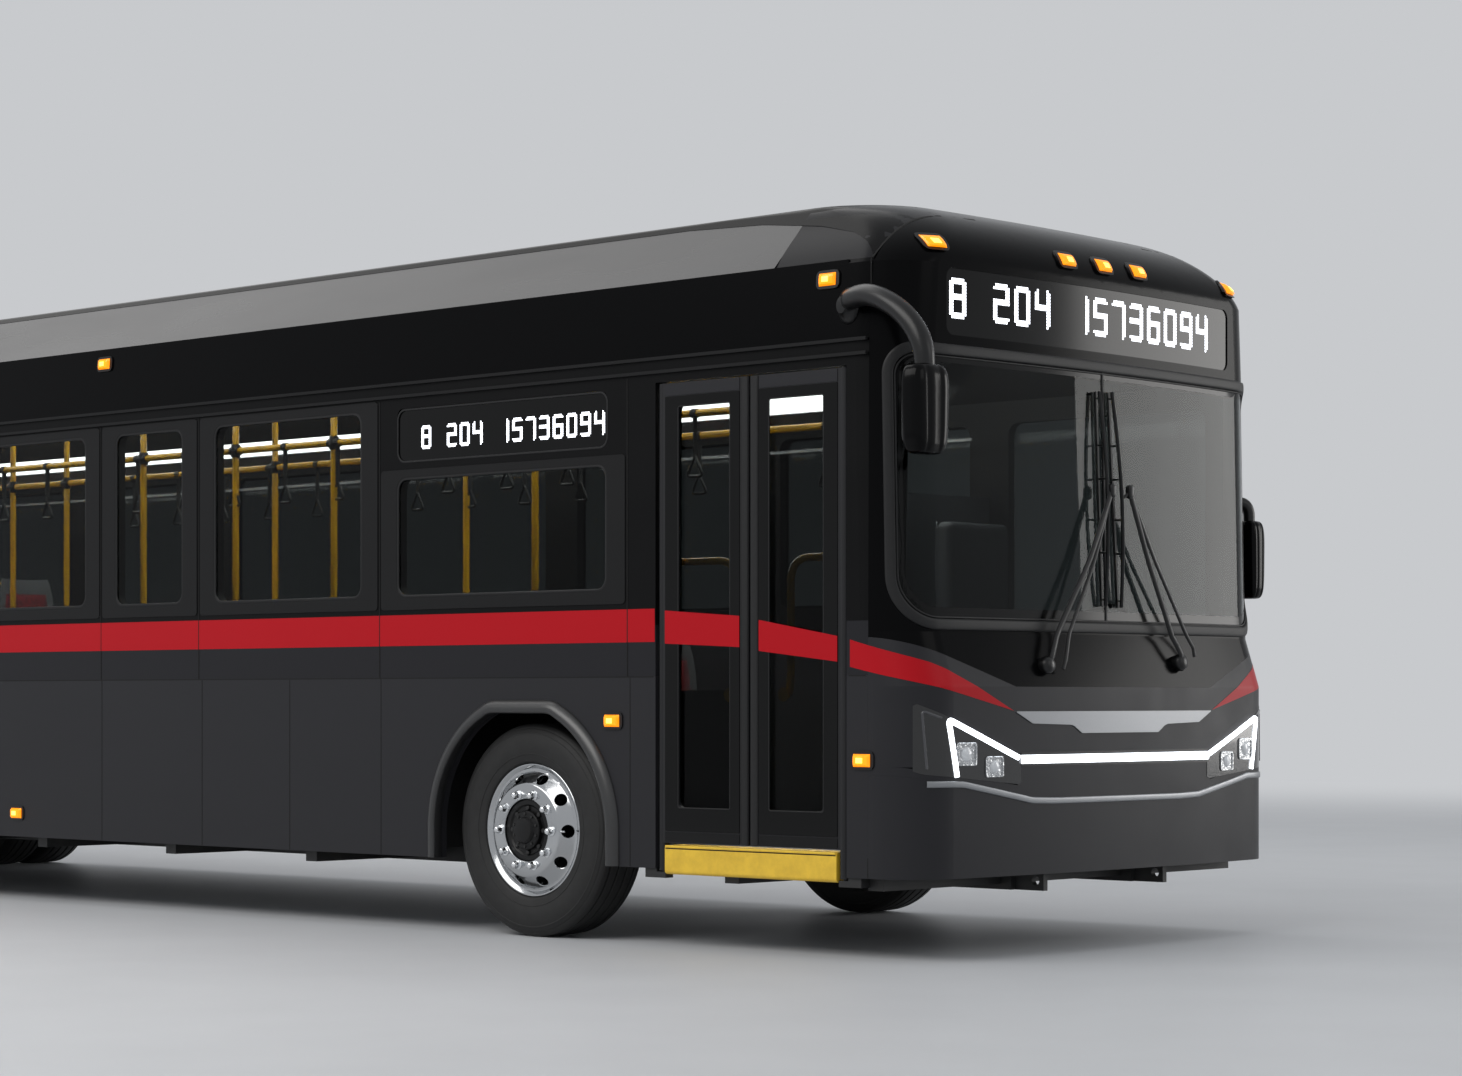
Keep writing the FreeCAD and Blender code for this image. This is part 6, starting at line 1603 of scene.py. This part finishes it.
class CITYBUS_OT_stage(bpy.types.Operator):
    """Pale floor, soft studio lights and the camera of the photograph"""
    bl_idname = "citybus.stage"
    bl_label = "Stage and camera"

    def execute(self, context):
        scene = context.scene
        floor = bpy.data.meshes.new("studio_floor")
        reach = 150.0
        floor.from_pydata([(-reach, -reach, 0), (reach, -reach, 0), (reach, reach, 0), (-reach, reach, 0)], [],
                          [(0, 1, 2, 3)])
        floor.materials.append(studio_sweep())
        ground = bpy.data.objects.new("studio_floor", floor)
        scene.collection.objects.link(ground)

        world = bpy.data.worlds.new("studio")
        world.use_nodes = True
        tree = world.node_tree
        tree.nodes.clear()
        room = add(tree, "ShaderNodeBackground", {"Color": srgb("#C9CCD0"), "Strength": 0.72})
        pale = add(tree, "ShaderNodeBackground", {"Color": srgb(BACKDROP), "Strength": 1.0})
        mixed = add(tree, "ShaderNodeMixShader",
                    {0: seen_by_eye(tree), 1: room.outputs[0], 2: pale.outputs[0]})
        add(tree, "ShaderNodeOutputWorld", {"Surface": mixed.outputs[0]})
        scene.world = world

        for name, place, aim, size, power in (
                ("top_softbox", (-5.0, 0.5, 9.5), (-5.0, 0.5, 0.0), (13.0, 8.0), 420.0),
                ("kerb_softbox", (2.0, -10.0, 9.5), (2.0, 0.0, 1.5), (14.0, 6.0), 900.0),
                ("street_softbox", (11.7, 10.6, 3.2), (6.1, 0.0, 1.6), (4.5, 5.0), 300.0),
                ("nose_softbox", (16.0, 1.5, 6.5), (5.5, 0.0, 1.5), (5.0, 4.0), 70.0)):
            lamp = bpy.data.lights.new(name, "AREA")
            lamp.shape = "RECTANGLE"
            lamp.size, lamp.size_y = size
            lamp.energy = power
            lamp.color = srgb("#FFFDFA")[:3]
            holder = bpy.data.objects.new(name, lamp)
            holder.location = place
            holder.rotation_euler = (Vector(aim) - Vector(place)).to_track_quat("-Z", "Y").to_euler()
            scene.collection.objects.link(holder)

        lens = bpy.data.cameras.new("photograph")
        lens.lens, lens.sensor_width, lens.shift_y = 79.53, 36.0, 0.1093
        lens.clip_end = 200.0
        eye = bpy.data.objects.new("photograph", lens)
        eye.location = (14.263, -11.259, 1.072)
        eye.rotation_euler = (math.radians(90), 0, math.radians(42.74))
        scene.collection.objects.link(eye)
        scene.camera = eye
        scene.view_settings.view_transform = "Standard"
        return {"FINISHED"}


# Add-on

def color_choice(name, description, code):
    """A colour property with an sRGB hex colour to start with."""
    return FloatVectorProperty(name=name, description=description, subtype="COLOR", size=4, min=0, max=1,
                               default=srgb(code))


def length_choice(name, description, default, least, most):
    """A length property in metres."""
    return FloatProperty(name=name, description=description, subtype="DISTANCE", unit="LENGTH",
                         min=least, max=most, default=default)


class CityBusPaint(bpy.types.PropertyGroup):
    """Colours and sign texts"""
    lower: color_choice("Lower body", "Satin paint below the stripe", "#27272A")
    upper: color_choice("Window band", "Satin paint above the stripe", "#0A0A0B")
    stripe: color_choice("Stripe", "Film along both sides", "#B4101C")
    front_text: StringProperty(name="Front sign", description="Digits on the front sign",
                               default="8 204 15736094")
    side_text: StringProperty(name="Side sign", description="Digits on the side sign",
                              default="8 204 15736094")


class CityBusSizes(bpy.types.PropertyGroup):
    """Sizes of the pieces that stand on the solids"""
    front_pitch: length_choice("Front dot pitch", "Distance between the front sign's dots", 0.0128, 0.004, 0.03)
    side_pitch: length_choice("Side dot pitch", "Distance between the side sign's dots", 0.00835, 0.004, 0.02)
    gasket_width: length_choice("Gasket width", "Width of the windscreen gasket", 0.046, 0.02, 0.08)
    frame_proud: length_choice("Frame height", "How far the window frames stand out", 0.004, 0.001, 0.01)
    film: length_choice("Film", "Thickness of the red film", 0.0010, 0.0002, 0.003)
    light_line: length_choice("Light line", "Width of the headlamps' light guide", 0.024, 0.01, 0.04)
    bar_height: length_choice("Light bar", "Height of the bar between the headlamps", 0.036, 0.01, 0.06)
    mirror_arm: length_choice("Mirror arm", "Radius of the mirror arm", 0.044, 0.01, 0.06)
    lamp_width: length_choice("Clearance lamp", "Width of an amber clearance lamp", 0.100, 0.05, 0.2)


STEPS = (CITYBUS_OT_finishes, CITYBUS_OT_stage, CITYBUS_OT_signs, CITYBUS_OT_windscreen,
         CITYBUS_OT_side_glazing, CITYBUS_OT_stripe, CITYBUS_OT_front, CITYBUS_OT_lamps, CITYBUS_OT_wheels,
         CITYBUS_OT_mirrors, CITYBUS_OT_wipers, CITYBUS_OT_doors, CITYBUS_OT_seats, CITYBUS_OT_rails,
         CITYBUS_OT_panels, CITYBUS_OT_rims, CITYBUS_OT_lining, CITYBUS_OT_grilles)


class CITYBUS_PT_panel(bpy.types.Panel):
    """Lists the properties and the operators"""
    bl_idname = "CITYBUS_PT_panel"
    bl_label = "City bus"
    bl_space_type = "VIEW_3D"
    bl_region_type = "UI"
    bl_category = "City bus"

    def draw(self, context):
        for group in (context.scene.city_bus_paint, context.scene.city_bus_sizes):
            for key in group.bl_rna.properties.keys():
                if key not in ("rna_type", "name"):
                    self.layout.prop(group, key)
        for step in STEPS:
            self.layout.operator(step.bl_idname)


CLASSES = (CityBusPaint, CityBusSizes, *STEPS, CITYBUS_PT_panel)


def register():
    """Registers the classes and gives the scene its properties."""
    for one in CLASSES:
        bpy.utils.register_class(one)
    bpy.types.Scene.city_bus_paint = PointerProperty(type=CityBusPaint)
    bpy.types.Scene.city_bus_sizes = PointerProperty(type=CityBusSizes)


def unregister():
    """Takes the properties and the classes away again."""
    del bpy.types.Scene.city_bus_sizes
    del bpy.types.Scene.city_bus_paint
    for one in reversed(CLASSES):
        bpy.utils.unregister_class(one)


def main():
    """Registers the add-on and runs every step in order."""
    register()
    for step in STEPS:
        group, name = step.bl_idname.split(".")
        if getattr(getattr(bpy.ops, group), name)() != {"FINISHED"}:
            raise RuntimeError(step.bl_label + " did not finish")
    bpy.context.view_layer.update()


if __name__ == "__main__":
    main()
